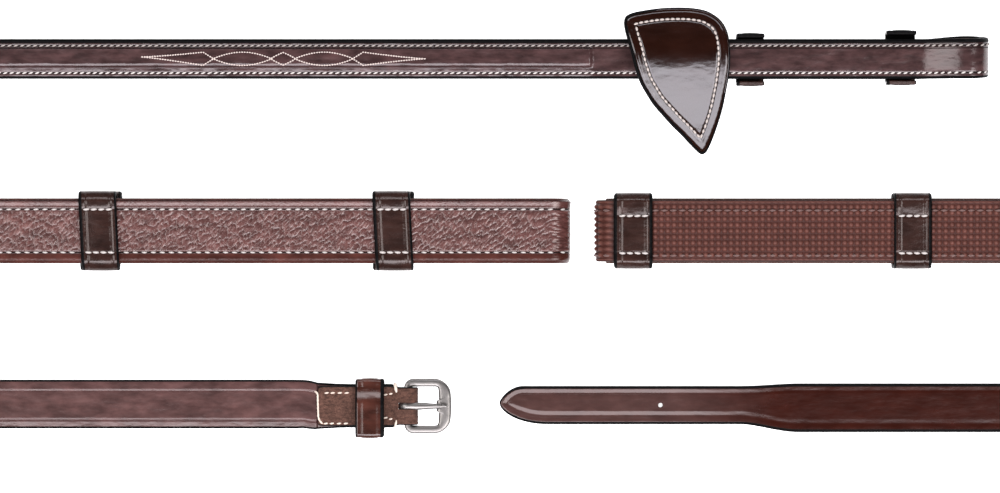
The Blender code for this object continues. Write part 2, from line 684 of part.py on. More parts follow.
def buckle_strap(path, body):
    """The buckle end's strap, from the end of its turned-back ply to the middle of the first U-turn."""
    s_end = path.middle("turn_1") - JUNCTION_GAP / 2
    skive = path.start("skive")
    full = path.start("strap")
    neck = path.at_x("neck", NECK_END)
    wide = path.at_x("strap", NECK_START)
    fold_middle = path.middle("bar_fold")
    near, far = (fold_middle - path.start("bar_fold") + reach for reach in BAR_END_REACH)

    def section(s):
        half = SKIVED_HALF + (STRAP_HALF - SKIVED_HALF) * eased(s, skive, full)
        half_width = (BAR_END_HALF_WIDTH
                      + (NECK_HALF_WIDTH - BAR_END_HALF_WIDTH) * eased(abs(s - fold_middle), near, far)
                      + (STRAP_HALF_WIDTH - NECK_HALF_WIDTH) * eased(s, neck, wide))
        return rectangle(half_width, -half, half)

    spacing = [neck + (wide - neck) * i / 6 for i in range(7)]
    spacing += [fold_middle + side * (near + (far - near) * i / 3) for side in (-1, 1) for i in range(4)]
    name = "buckle_strap"
    mesh = sweep(name, path, path.stations(0.0, s_end, spacing), section)
    strap = finish(name, mesh, body, BROWN, 0.35)
    slot = box_cutter("tongue_slot", (TONGUE_SLOT[0], NECK_ROW - TONGUE_SLOT_HALF_WIDTH, BELOW_ALL),
                      (TONGUE_SLOT[1], NECK_ROW + TONGUE_SLOT_HALF_WIDTH, ABOVE_ALL))
    cut(strap, slot)


def buckle_frame(body):
    outer = rounded(BAR_AT - BAR / 2, FRAME_END - FRAME_BOW, NECK_ROW - FRAME_HALF_WIDTH,
                    NECK_ROW + FRAME_HALF_WIDTH, FRAME_CORNER, FRAME_TOE_CORNER, FRAME_BOW)
    inner_half = FRAME_HALF_WIDTH - FRAME_ARM
    inner = rounded(BAR_AT + BAR / 2, FRAME_END - FRAME_TOE, NECK_ROW - inner_half,
                    NECK_ROW + inner_half, FRAME_INNER_CORNER, FRAME_INNER_CORNER)
    mesh = flat_outline("buckle_frame", [outer, inner], BAR)
    mesh.transform(Matrix.Translation((0.0, 0.0, BAR_HEIGHT * MM)))
    finish("buckle_frame", mesh, body, STEEL, 0.3, 1.0)


def buckle_tongue(body):
    """A pin whose eye goes round the bar and whose shank rests on the frame's toe."""
    points = []
    for i in range(TONGUE_EYE_STEPS + 1):
        angle = math.radians(TONGUE_EYE_START + TONGUE_EYE_SWEEP * i / TONGUE_EYE_STEPS)
        points.append((BAR_AT + TONGUE_EYE * math.cos(angle), BAR_HEIGHT + TONGUE_EYE * math.sin(angle)))
    rest = BAR_HEIGHT + BAR / 2 + CLEARANCE + TONGUE_RADIUS
    points += [(BAR_AT + TONGUE_BEND, rest), (TONGUE_TIP, rest)]
    curve = bpy.data.curves.new("buckle_tongue", "CURVE")
    curve.dimensions = "3D"
    curve.bevel_depth = TONGUE_RADIUS * MM
    curve.bevel_resolution = 2
    curve.use_fill_caps = True
    add_spline(curve, [place((x, NECK_ROW, z)) for x, z in points], False)
    mesh = mesh_of(bpy.data.objects.new("buckle_tongue", curve))
    finish("buckle_tongue", mesh, body, STEEL, 0.3, 1.0)


def loose_keeper(path, body):
    """A band that slides on the doubled strap behind the buckle."""
    s0 = path.at_x("neck", LOOSE_KEEPER[1])
    s1 = path.at_x("neck", LOOSE_KEEPER[0])
    bottom = -SKIVED_HALF - CLEARANCE
    top = TURNBACK_HEIGHT + SKIVED_HALF - SKIVED_HEIGHT + CLEARANCE
    wall = LOOSE_KEEPER_LEATHER
    half = LOOSE_KEEPER_HALF_WIDTH
    shift = LOOSE_KEEPER_SHIFT
    inside = (shift - half + wall, shift + half - wall, bottom, top)
    outside = (shift - half, shift + half, bottom - wall, top + wall)
    mesh = band("buckle_keeper", path, s0, s1, inside, outside)
    finish("buckle_keeper", mesh, body, DARK_BROWN, 0.3)


# ---------------------------------------------------------------- tip end

def tip_strap(path, body):
    """The pointed end's strap, with one punched hole, up to the middle of the first U-turn."""
    s_end = path.middle("turn_1") - JUNCTION_GAP / 2
    widen = [path.at_x("tip", TIP_WIDENS[0]), path.start("strap")]

    def edge(s, apex, round_length, fullness):
        full = TIP_HALF_WIDTH + (STRAP_HALF_WIDTH - TIP_HALF_WIDTH) * eased(s, *widen)
        left = 1 - min(s, round_length) / round_length
        return apex + (full - apex) * (1 - left ** 2) ** fullness

    def section(s):
        upper = edge(s, TIP_APEX, TIP_UPPER_ROUND, TIP_UPPER_FULLNESS)
        lower = edge(s, -TIP_APEX, TIP_LOWER_ROUND, TIP_LOWER_FULLNESS)
        plain = rectangle((upper + lower) / 2, -STRAP_HALF, STRAP_HALF)
        return [(t + (upper - lower) / 2, n) for t, n in plain]

    marks = [length * (1 - math.cos(math.radians(a)))
             for length in (TIP_UPPER_ROUND, TIP_LOWER_ROUND) for a in range(15, 91, 15)]
    mesh = sweep("tip_strap", path, path.stations(TIP_BLUNT, s_end, marks), section)
    strap = finish("tip_strap", mesh, body, BROWN, 0.35)
    hole = post("tip_hole", (TIP_HOLE_AT, TIP_ROW), TIP_HOLE_RADIUS, BELOW_ALL, ABOVE_ALL)
    cut(strap, link_cutter(bpy.data.objects.new("tip_hole", hole)))


# ---------------------------------------------------------------- assembly

A = path_a()
B = path_b()

grip_a = pivot("body_grip_a", (LEFT_TURN, GRIP_ROW, 0.0))
buckle_end_a = pivot("body_buckle_end_a", (LEFT_TURN - TURN_A_LOW[1], TURN_A_LOW[0], TURN_HEIGHT), grip_a)
keeper_a = pivot("body_buckle_keeper", (LOOSE_KEEPER[0], NECK_ROW, STRAP_HEIGHT), buckle_end_a)
frame_a = pivot("body_buckle_frame", (BAR_AT, NECK_ROW, BAR_HEIGHT), buckle_end_a)
tongue_a = pivot("body_buckle_tongue", (BAR_AT, NECK_ROW, BAR_HEIGHT), frame_a)
bit_end_a = pivot("body_bit_end_a", (LEFT_TURN - TURN_A_HIGH[1], TURN_A_HIGH[0], TURN_HEIGHT), grip_a)
stop_a = pivot("body_martingale_stop_a", (STOP_LOOP[0], BIT_ROW_A, BIT_HEIGHT), bit_end_a)
grip_b = pivot("body_grip_b", (RIGHT_TURN, GRIP_ROW, 0.0), grip_a)
tip_end_b = pivot("body_tip_end_b", (RIGHT_TURN + TURN_B_LOW[1], TURN_B_LOW[0], TURN_HEIGHT), grip_b)
bit_end_b = pivot("body_bit_end_b", (RIGHT_TURN + TURN_B_HIGH[1], TURN_B_HIGH[0], TURN_HEIGHT), grip_b)
stop_b = pivot("body_martingale_stop_b", (-STOP_LOOP[0], BIT_ROW_B, BIT_HEIGHT), bit_end_b)

grip("a", A, grip_a, STOP_HALF_WIDTH_A, STOPS_A, STOPS_A)
grip("b", B, grip_b, STOP_HALF_WIDTH_B, STOPS_B_HIDDEN, STOPS_B)
for half, sign, row, path, bit_end, stop in (("a", 1, BIT_ROW_A, A, bit_end_a, stop_a),
                                             ("b", -1, BIT_ROW_B, B, bit_end_b, stop_b)):
    bit_strap(half, sign, row, path, bit_end)
    hook_stud(half, sign, row, bit_end)
    bit_keepers(half, sign, path, bit_end)
    martingale_stop(half, sign, row, path, stop)
buckle_strap(A, buckle_end_a)
buckle_frame(frame_a)
buckle_tongue(tongue_a)
loose_keeper(A, keeper_a)
tip_strap(B, tip_end_b)
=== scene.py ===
"""The looks of the leather reins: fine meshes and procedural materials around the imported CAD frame.

Lengths are millimetres in the layout's plane until to_metres(). A strap is a loft along its path:
s is the distance along it, t the distance across it, and n the height out of its grain side.
"""

import math

import bpy
import numpy as np
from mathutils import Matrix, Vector


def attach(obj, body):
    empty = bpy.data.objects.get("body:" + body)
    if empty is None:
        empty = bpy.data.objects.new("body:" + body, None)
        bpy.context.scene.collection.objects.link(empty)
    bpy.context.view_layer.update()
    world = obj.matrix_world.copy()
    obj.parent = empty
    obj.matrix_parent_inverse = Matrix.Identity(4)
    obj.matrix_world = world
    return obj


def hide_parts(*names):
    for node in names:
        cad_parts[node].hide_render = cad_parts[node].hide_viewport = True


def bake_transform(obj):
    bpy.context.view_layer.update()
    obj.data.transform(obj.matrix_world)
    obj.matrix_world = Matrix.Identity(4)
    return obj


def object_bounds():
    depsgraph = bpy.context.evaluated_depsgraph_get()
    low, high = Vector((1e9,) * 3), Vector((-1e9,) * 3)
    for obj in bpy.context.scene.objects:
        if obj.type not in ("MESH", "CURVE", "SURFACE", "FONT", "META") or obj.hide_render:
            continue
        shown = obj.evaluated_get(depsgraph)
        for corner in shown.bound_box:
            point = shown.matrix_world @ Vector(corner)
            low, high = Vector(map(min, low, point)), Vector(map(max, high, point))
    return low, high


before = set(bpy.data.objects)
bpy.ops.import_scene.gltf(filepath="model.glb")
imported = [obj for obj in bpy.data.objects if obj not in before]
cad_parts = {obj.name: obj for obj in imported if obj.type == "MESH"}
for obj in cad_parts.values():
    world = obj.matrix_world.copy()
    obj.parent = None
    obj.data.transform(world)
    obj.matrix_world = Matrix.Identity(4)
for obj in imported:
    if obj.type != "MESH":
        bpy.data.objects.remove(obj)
cad_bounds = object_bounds()

CENTRE = np.array((19.6, 36.8, 0.0))
GAP = 0.3

BIT_ROW_B, BIT_ROW_A, GRIP_ROW, BUCKLE_ROW, NECK_ROW = 120.3, 62.6, 5.2, -52.7, -53.3
TIP_ROW, TIP_ROW_WIDE = -53.1, -54.0
LEFT_TWIST, RIGHT_TWIST, TWIST = -172.7, 183.0, 60.0
TURN_HEIGHT = 15.2

GRIP_HALF, GRIP_CORE = 2.25, 1.5
LEATHER_WIDTH, RUBBER_WIDTH, CORE_WIDTH = 10.85, 10.3, 9.6
LEG_OFFSET, GRIP_HEIGHT, FOLD_A, FOLD_B = 4.35, 8.55, 23.3, 32.0
STOP_LENGTH, STOP_LEATHER, TURN_STOP = 12.6, 1.6, 9.0
STOP_WIDTH = {"a": 13.4, "b": 12.7}
STOPS = {"a": (-133.3, -35.6), "b": (137.2, 44.4)}
STOPS_HIDDEN = {"a": (-133.3, -35.6), "b": (137.2,)}

BIT_WIDTH, BIT_HALF, BIT_HEIGHT = 6.65, 1.6, 7.0
BILLET_HEIGHT, LOOP_END, LOOP_RADIUS, LOOP_FOOT, LOOP_SKEW = 3.3, 163.0, 5.1, 1.7, 1.2
BIT_CLIMB, BILLET_END = 139.2, 76.0
PANEL_END = 30.2
UPPER_ROW, LOWER_ROW, BIT_PITCH, FANCY_PITCH, FANCY_LEAN = 4.40, -4.70, 2.13, 0.86, 0.6
KEEPERS = (("inner", 79.0, 88.3, 0.1, 0.5), ("outer", 129.0, 139.0, 1.1, 0.2))

BAR_AT, BAR, BAR_HEIGHT, BAR_FOLD = -30.9, 2.2, 5.4, 2.6
TURNBACK_END, TURNBACK_HEIGHT, TURNBACK_DROP = -60.7, 4.9, 6.0
SKIVE_START, SKIVE_END = -61.5, -66.0
FRAME_END, FRAME_WIDTH = -16.2, 9.2
BUCKLE_LEVEL, NECK_LEVEL, TIP_LEVEL = 3.3, 2.8, 1.8


# ---------------------------------------------------------------- paths

def unit(vectors):
    return vectors / np.linalg.norm(vectors, axis=-1, keepdims=True)


def distances_along(points):
    """How far along a polyline each of its points is."""
    return np.concatenate([[0], np.cumsum(np.linalg.norm(np.diff(points, axis=0), axis=1))])


def points_along(points, marks):
    """The places at these distances along a polyline."""
    run = distances_along(points)
    return np.stack([np.interp(marks, run, column) for column in points.T], -1)


def smoothed(line, times):
    for _ in range(times):
        line[1:-1] = (line[:-2] + 2 * line[1:-1] + line[2:]) / 4
    return line


def ease(k):
    return k * k * (3 - 2 * k)


def clamp(x, low=0.0, high=1.0):
    return np.minimum(np.maximum(x, low), high)


def step(x, start, end):
    return ease(clamp((x - start) / (end - start)))


def leg(x0, x1, y0, y1, z0, z1, turn0=0.0, turn1=0.0, offset=0.0, face=1):
    """A run along X whose upper side turns from turn0 to turn1 degrees, from +Z towards -Y."""
    def point(k):
        angle = np.radians(turn0 + (turn1 - turn0) * ease(k))
        up = np.stack([0 * k, -np.sin(angle), np.cos(angle)], -1)
        axis = np.stack([x0 + (x1 - x0) * k, y0 + (y1 - y0) * ease(k), z0 + (z1 - z0) * ease(k)], -1)
        return axis + offset * up, face * up
    return abs(x1 - x0), point


def turn(x, centre, z, start, sweep, face):
    """A U-turn on edge about a vertical axis."""
    def point(k):
        angle = np.radians(start + sweep * k)
        out = np.stack([np.cos(angle), np.sin(angle), 0 * k], -1)
        return np.array((x, centre[0], z)) + centre[1] * out, face * out
    return centre[1] * math.radians(abs(sweep)), point


def fold(x, y0, y1, z, radius, heading, face):
    """A fold from an upper run to a lower one."""
    def point(k):
        angle = math.pi * k
        out = np.stack([heading * np.sin(angle), 0 * k, np.cos(angle)], -1)
        axis = np.stack([x + 0 * k, y0 + (y1 - y0) * ease(k), z + 0 * k], -1)
        return axis + radius * out, face * out
    return math.pi * radius, point


class Path:
    def __init__(self, **pieces):
        self.pieces, start = {}, 0.0
        for name, (length, point) in pieces.items():
            self.pieces[name] = (start, length, point)
            start += length
        self.length = start

    def start(self, name):
        return self.pieces[name][0]

    def middle(self, name):
        return self.pieces[name][0] + self.pieces[name][1] / 2

    def at_x(self, name, x):
        start, _, point = self.pieces[name]
        return start + abs(x - point(np.zeros(1))[0][0, 0])

    def frame(self, s):
        """Positions, and the unit vectors across the strap, out of its grain side and along it."""
        s = np.asarray(s, float)
        starts = np.array([piece[0] for piece in self.pieces.values()])
        index = np.maximum(np.searchsorted(starts, s + 1e-6, "right") - 1, 0)
        place, up, along = (np.zeros((len(s), 3)) for _ in range(3))
        for i, (start, length, point) in enumerate(self.pieces.values()):
            here = index == i
            if not here.any():
                continue
            k = (s[here] - start) / length
            place[here], up[here] = point(k)
            along[here] = point(k + 0.001)[0] - point(k - 0.001)[0]
        along = unit(along)
        up = unit(up - (up * along).sum(1)[:, None] * along)
        return place, np.cross(up, along), up, along

    def on(self, s, t, n):
        """Points at distance t across and n out of the grain side; s, t and n broadcast together."""
        s, t, n = np.broadcast_arrays(np.asarray(s, float), t, n)
        place, across, up, _ = self.frame(s.ravel())
        flat = place + across * t.ravel()[:, None] + up * n.ravel()[:, None]
        return flat.reshape(*s.shape, 3)


def u_turn(row, grip_side):
    """Centre and radius in Y of the arc between a row and the grip's upper (-1) or lower (1) run."""
    near = GRIP_ROW + grip_side * LEG_OFFSET
    return (row + near) / 2, abs(row - near) / 2


def half_path(sign, twist, row, level, bit_row, fold_at, **end):
    """A half's strap: its own end, the loop through the hand grip, and the bit end folded back on itself."""
    side = twist - sign * TWIST
    grip, high, upright = GRIP_ROW, TURN_HEIGHT, 90.0 * sign
    folded = LOOP_END - LOOP_RADIUS - BIT_HALF
    loop_top, far = LOOP_FOOT + 2 * LOOP_RADIUS, bit_row + LOOP_SKEW
    climb, billet = sign * BIT_CLIMB, sign * BILLET_END
    return Path(
        **end,
        twist_1=leg(twist, side, row, row, level, high, 0.0, -upright),
        turn_1=turn(side, u_turn(row, -1), high, -90.0, -2 * upright, -sign),
        twist_2=leg(side, twist, grip, grip, high, GRIP_HEIGHT, 90.0, 0.0, LEG_OFFSET, sign),
        upper=leg(twist, fold_at, grip, grip, GRIP_HEIGHT, GRIP_HEIGHT, offset=LEG_OFFSET, face=sign),
        grip_fold=fold(fold_at, grip, grip, GRIP_HEIGHT, LEG_OFFSET, sign, sign),
        lower=leg(fold_at, twist, grip, grip, GRIP_HEIGHT, GRIP_HEIGHT, offset=-LEG_OFFSET, face=-sign),
        twist_3=leg(twist, side, grip, grip, GRIP_HEIGHT, high, 0.0, 90.0, -LEG_OFFSET, -sign),
        turn_2=turn(side, u_turn(bit_row, 1), high, -90.0, -2 * upright, -sign),
        twist_4=leg(side, twist, bit_row, bit_row, high, BIT_HEIGHT, upright, 0.0),
        bit_row=leg(twist, climb, bit_row, bit_row, BIT_HEIGHT, BIT_HEIGHT),
        climb=leg(climb, sign * folded, bit_row, bit_row, BIT_HEIGHT, loop_top),
        bit_fold=fold(sign * folded, bit_row, far, LOOP_FOOT + LOOP_RADIUS, LOOP_RADIUS, sign, 1),
        back=leg(sign * folded, climb, far, bit_row, LOOP_FOOT, BILLET_HEIGHT, face=-1),
        billet=leg(climb, billet, bit_row, bit_row, BILLET_HEIGHT, BILLET_HEIGHT, face=-1),
    )


drop = BAR_AT - TURNBACK_DROP
A = half_path(
    1, LEFT_TWIST, BUCKLE_ROW, BUCKLE_LEVEL, BIT_ROW_A, FOLD_A - LEG_OFFSET - GRIP_HALF,
    turnback=leg(TURNBACK_END, drop, NECK_ROW, NECK_ROW, TURNBACK_HEIGHT, TURNBACK_HEIGHT, face=-1),
    rise=leg(drop, BAR_AT, NECK_ROW, NECK_ROW, TURNBACK_HEIGHT, BAR_HEIGHT + BAR_FOLD, face=-1),
    bar_fold=fold(BAR_AT, NECK_ROW, NECK_ROW, BAR_HEIGHT, BAR_FOLD, 1, -1),
    neck=leg(BAR_AT, SKIVE_START, NECK_ROW, NECK_ROW, NECK_LEVEL, NECK_LEVEL),
    skive=leg(SKIVE_START, SKIVE_END, NECK_ROW, BUCKLE_ROW, NECK_LEVEL, BUCKLE_LEVEL),
    strap=leg(SKIVE_END, LEFT_TWIST, BUCKLE_ROW, BUCKLE_ROW, BUCKLE_LEVEL, BUCKLE_LEVEL),
)
B = half_path(
    -1, RIGHT_TWIST, TIP_ROW_WIDE, TIP_LEVEL, BIT_ROW_B, FOLD_B + LEG_OFFSET + GRIP_HALF,
    tip=leg(-0.2, 80.0, TIP_ROW, TIP_ROW, TIP_LEVEL, TIP_LEVEL),
    widening=leg(80.0, 100.0, TIP_ROW, TIP_ROW_WIDE, TIP_LEVEL, TIP_LEVEL),
    strap=leg(100.0, RIGHT_TWIST, TIP_ROW_WIDE, TIP_ROW_WIDE, TIP_LEVEL, TIP_LEVEL),
)
PATHS = {"a": A, "b": B}
SIGNS = {"a": 1, "b": -1}
ROWS = {"a": BIT_ROW_A, "b": BIT_ROW_B}


# ---------------------------------------------------------------- materials

def map_range(tree, source, low=0.0, high=1.0, start=0.0, end=1.0):
    """The source, changed from between start and end to between low and high."""
    made = tree.nodes.new("ShaderNodeMapRange")
    for name, value in (("From Min", start), ("From Max", end), ("To Min", low), ("To Max", high)):
        made.inputs[name].default_value = value
    tree.links.new(source, made.inputs["Value"])
    return made.outputs["Result"]


class Shader:
    """A Principled material and short ways to add texture nodes. Textures use UV, which is in millimetres."""

    def __init__(self, name, roughness, metallic=0.0, **inputs):
        self.material = bpy.data.materials.new(name)
        self.material.use_nodes = True
        self.tree = self.material.node_tree
        self.bsdf = self.tree.nodes["Principled BSDF"]
        self.bsdf.inputs["Roughness"].default_value = roughness
        self.bsdf.inputs["Metallic"].default_value = metallic
        for key, value in inputs.items():
            self.bsdf.inputs[key.replace("_", " ")].default_value = value
        self.uv = self.node("ShaderNodeTexCoord").outputs["UV"]

    def node(self, kind, **settings):
        made = self.tree.nodes.new(kind)
        for key, value in settings.items():
            setattr(made, key, value)
        return made

    def link(self, source, target):
        self.tree.links.new(source, target)

    def stretched(self, scale):
        mapping = self.node("ShaderNodeMapping")
        mapping.inputs["Scale"].default_value = scale
        self.link(self.uv, mapping.inputs["Vector"])
        return mapping.outputs["Vector"]

    def noise(self, scale, detail=2.0, stretch=None, rough=0.5):
        made = self.node("ShaderNodeTexNoise")
        made.inputs["Scale"].default_value = scale
        made.inputs["Detail"].default_value = detail
        made.inputs["Roughness"].default_value = rough
        self.link(self.stretched(stretch) if stretch else self.uv, made.inputs["Vector"])
        return made.outputs["Fac"]

    def cells(self, scale):
        made = self.node("ShaderNodeTexVoronoi")
        made.inputs["Scale"].default_value = scale
        self.link(self.uv, made.inputs["Vector"])
        return made.outputs["Distance"]

    def ramp(self, source, colour, *stops):
        """The colour times a factor that changes between two stops, each a (place, factor)."""
        made = self.node("ShaderNodeValToRGB")
        for element, (place, factor) in zip(made.color_ramp.elements, stops):
            element.position = place
            element.color = (*(np.array(colour) * factor), 1.0)
        self.link(source, made.inputs["Fac"])
        return made.outputs["Color"]

    def mix(self, factor, a, b, blend="MIX"):
        made = self.node("ShaderNodeMix", data_type="RGBA", blend_type=blend)
        for index, value in ((0, factor), (6, a), (7, b)):
            if hasattr(value, "is_output"):
                self.link(value, made.inputs[index])
            else:
                made.inputs[index].default_value = value if index == 0 else (*value, 1.0)
        return made.outputs[2]

    def times(self, a, b):
        return self.mix(1.0, a, b, "MULTIPLY")

    def along(self, start, end):
        """0 to 1 between two distances along the strap."""
        split = self.node("ShaderNodeSeparateXYZ")
        self.link(self.uv, split.inputs["Vector"])
        return map_range(self.tree, split.outputs["X"], start=start, end=end)

    def relief(self):
        """The mask slab() stores on the mesh, 0 in valleys and shaded places, 1 on tops: the materials'
        painted shade.
        """
        return self.node("ShaderNodeAttribute", attribute_name="relief").outputs["Fac"]

    def colour(self, source):
        if hasattr(source, "is_output"):
            self.link(source, self.bsdf.inputs["Base Color"])
        else:
            self.bsdf.inputs["Base Color"].default_value = (*source, 1.0)

    def roughness(self, source, low, high):
        self.link(map_range(self.tree, source, low, high), self.bsdf.inputs["Roughness"])

    def bump(self, *layers):
        """layers are (height source, strength, depth in millimetres)."""
        normal = None
        for source, strength, depth in layers:
            made = self.node("ShaderNodeBump")
            made.inputs["Strength"].default_value = strength
            made.inputs["Distance"].default_value = depth * 0.001
            self.link(source, made.inputs["Height"])
            if normal:
                self.link(normal, made.inputs["Normal"])
            normal = made.outputs["Normal"]
        self.link(normal, self.bsdf.inputs["Normal"])


GREY = (1.0, 1.0, 1.0)


def leather(name, colour, roughness, grain=0.03, variation=0.25, coat=0.0, wave=0.10, tint=(1.0, 0.90, 0.88),
            shine=0.4, mottle=0.25, painted_shade=None, fade=None):
    """Finished grain leather: cloudy colour, fine creased grain, and soft waves that break up its sheen.

    The shade factor is how dark the colour is painted where the mesh's stored mask is low: painted shade in
    valleys, grooves, on corners and on a shaded side. fade is (start, end, factor): the colour changes by
    this factor along the strap.
    """
    made = Shader(name, roughness, Coat_Weight=coat, Coat_Roughness=0.15, Specular_Tint=(*tint, 1.0),
                  Specular_IOR_Level=shine)
    clouds = made.noise(0.09, 3.0, (1.0, 1.6, 1.0))
    base = made.ramp(clouds, colour, (0.3, 1 - variation), (0.7, 1 + variation))
    pores = made.cells(1.7)
    fine = made.noise(3.2, 4.0, rough=0.6)
    spots = made.noise(0.28, 5.0, (0.5, 1.3, 1.0), 0.6)
    base = made.times(base, made.ramp(spots, GREY, (0.36, 1 - mottle), (0.64, 1 + 1.3 * mottle)))
    if fade is not None:
        base = made.mix(made.along(*fade[:2]), base, made.times(base, fade[2]))
    # Painted shade: the colour is darkened where the stored mask is low.
    if painted_shade is not None:
        base = made.mix(made.relief(), made.times(base, painted_shade), base)
    made.colour(base)
    made.roughness(spots, roughness - 0.06, roughness + 0.05)
    waves = made.noise(0.16, 2.0, (0.7, 1.4, 1.0))
    made.bump((waves, 1.0, wave * 3), (spots, 1.0, wave * 0.5), (pores, 0.6, grain), (fine, 0.7, grain))
    return made.material


def suede(name, colour):
    """The flesh side: fuzzy, matt, streaked by its fibres."""
    made = Shader(name, 0.9, Specular_IOR_Level=0.15)
    fibres = made.noise(2.2, 5.0, (1.0, 2.2, 1.0), 0.7)
    patches = made.noise(0.35, 3.0)
    base = made.ramp(fibres, colour, (0.3, 0.45), (0.7, 1.6))
    cloud = made.ramp(patches, GREY, (0.3, 0.75), (0.7, 1.2))
    tufts = made.ramp(made.noise(0.9, 3.0, (0.7, 1.3, 1.0), 0.7), GREY, (0.36, 0.6), (0.64, 1.4))
    made.colour(made.times(made.times(base, tufts), cloud))
    made.bump((fibres, 1.0, 0.25))
    return made.material


def edge_paint_and_shade(name, colour):
    """Thick glossy edge dressing over cut leather, also used as painted shade on keeper sides and bit strap
    edges.
    """
    made = Shader(name, 0.45, Specular_IOR_Level=0.04)
    worn = made.noise(1.1, 4.0)
    made.colour(made.ramp(worn, colour, (0.35, 0.7), (0.75, 1.9)))
    made.roughness(made.noise(0.8, 2.0), 0.35, 0.6)
    made.bump((made.noise(1.6, 3.0), 0.6, 0.05))
    return made.material


def rubber(name, colour):
    """Matt, dusty rubber, with painted shade between its pimples."""
    made = Shader(name, 0.5, Specular_IOR_Level=0.14)
    clouds = made.noise(0.2, 3.0)
    base = made.ramp(clouds, colour, (0.3, 0.86), (0.7, 1.14))
    dust = made.noise(5.0, 3.0)
    base = made.times(base, made.ramp(dust, GREY, (0.4, 0.85), (0.7, 1.1)))
    # Painted shade: darker where the stored mask is low, between the pimples and on the corners.
    made.colour(made.mix(made.relief(), made.times(base, (0.40, 0.30, 0.28)), base))
    made.bump((dust, 0.7, 0.03))
    return made.material


def thread(name, colour):
    """Waxed, twisted linen thread. Its twist is in the mesh, and its fibres are here."""
    made = Shader(name, 0.55, Sheen_Weight=0.2)
    fibres = made.noise(6.0, 3.0, (1.0, 3.0, 1.0))
    made.colour(made.ramp(fibres, colour, (0.3, 0.78), (0.7, 1.0)))
    made.bump((fibres, 0.6, 0.03))
    return made.material


def steel(name, roughness, colour):
    """Satin steel, brushed along the piece."""
    made = Shader(name, roughness, 1.0)
    lines = made.noise(1.2, 4.0, (0.4, 8.0, 1.0), 0.65)
    made.colour(made.ramp(lines, colour, (0.3, 0.86), (0.7, 1.0)))
    made.roughness(lines, roughness - 0.06, roughness + 0.12)
    made.bump((lines, 0.25, 0.01))
    return made.material


BRIDLE = leather("bridle_leather", (0.030, 0.0145, 0.0145), 0.23, 0.018, wave=0.15, tint=(1.0, 0.93, 0.94),
                 shine=0.44, mottle=0.34, painted_shade=(0.42, 0.38, 0.36))
BRIDLE_SINGLE = leather("bridle_leather_single", (0.047, 0.0220, 0.0208), 0.24, 0.018, 0.3, mottle=0.24)
TIP_LEATHER = leather("tip_leather", (0.036, 0.0160, 0.0142), 0.24, 0.018, 0.15, wave=0.06, mottle=0.12,
                      shine=0.33, fade=(58.0, 92.0, (0.47, 0.14, 0.06)))
GRAINED = leather("grained_leather", (0.075, 0.0290, 0.0262), 0.27, 0.03, 0.15, wave=0.03, shine=0.55,
                  painted_shade=(0.28, 0.20, 0.19))
# A darker copy of the grain leather: painted shade on the grip's rolled edges and over its lower border.
GRAINED_SHADED = leather("grained_leather_shaded", (0.036, 0.0100, 0.0076), 0.23, 0.02, wave=0.03, shine=0.3)
# Near-black painted shade along the stitch grooves, and along the bit strap's upper panel flank.
GROOVE_SHADE = leather("stitch_groove_shade", (0.005, 0.002, 0.0018), 0.6, 0.02, wave=0.0, shine=0.1)
DARK = leather("dark_leather", (0.018, 0.0066, 0.0052), 0.24, 0.015, 0.3, shine=0.35)
STOP_LEATHER_LOOK = leather("stop_leather", (0.015, 0.0060, 0.0046), 0.24, 0.02, 0.3, shine=0.38)
KEEPER_LEATHER = leather("keeper_leather", (0.031, 0.0092, 0.0062), 0.20, 0.01, 0.3, 0.35, shine=0.3)
SHIELD_LEATHER = leather("shield_leather", (0.0085, 0.0021, 0.0010), 0.165, 0.008, 0.2, wave=0.05,
                         tint=(0.98, 0.96, 1.0), shine=0.5, mottle=0.1)
LINING = leather("lining_leather", (0.050, 0.022, 0.016), 0.55, 0.04)
FLESH = suede("flesh_side", (0.060, 0.0290, 0.0215))
EDGE_PAINT_AND_SHADE = edge_paint_and_shade("edge_paint_and_shade", (0.0022, 0.0020, 0.0022))
RUBBER = rubber("rubber_back", (0.090, 0.0330, 0.0255))
RUBBER_EDGE = rubber("rubber_edge", (0.055, 0.020, 0.016))
CREAM = thread("cream_thread", (0.25, 0.215, 0.20))
# A lighter copy of the cream thread for the bit straps' lower stitch row: painted highlight.
CREAM_LIT = thread("cream_thread_lit", (0.46, 0.42, 0.40))
WHITE = thread("white_thread", (0.36, 0.325, 0.31))
FANCY = thread("fancy_thread", (0.50, 0.41, 0.38))
SHIELD_THREAD = thread("shield_thread", (0.37, 0.315, 0.29))
HAND = thread("hand_thread", (0.55, 0.45, 0.38))
TAN = thread("rubber_coloured_thread", (0.085, 0.036, 0.030))
STEEL = steel("brushed_steel", 0.36, (0.205, 0.192, 0.186))


# ---------------------------------------------------------------- mesh tools

def to_metres(points):
    return (np.asarray(points) - CENTRE) * 0.001


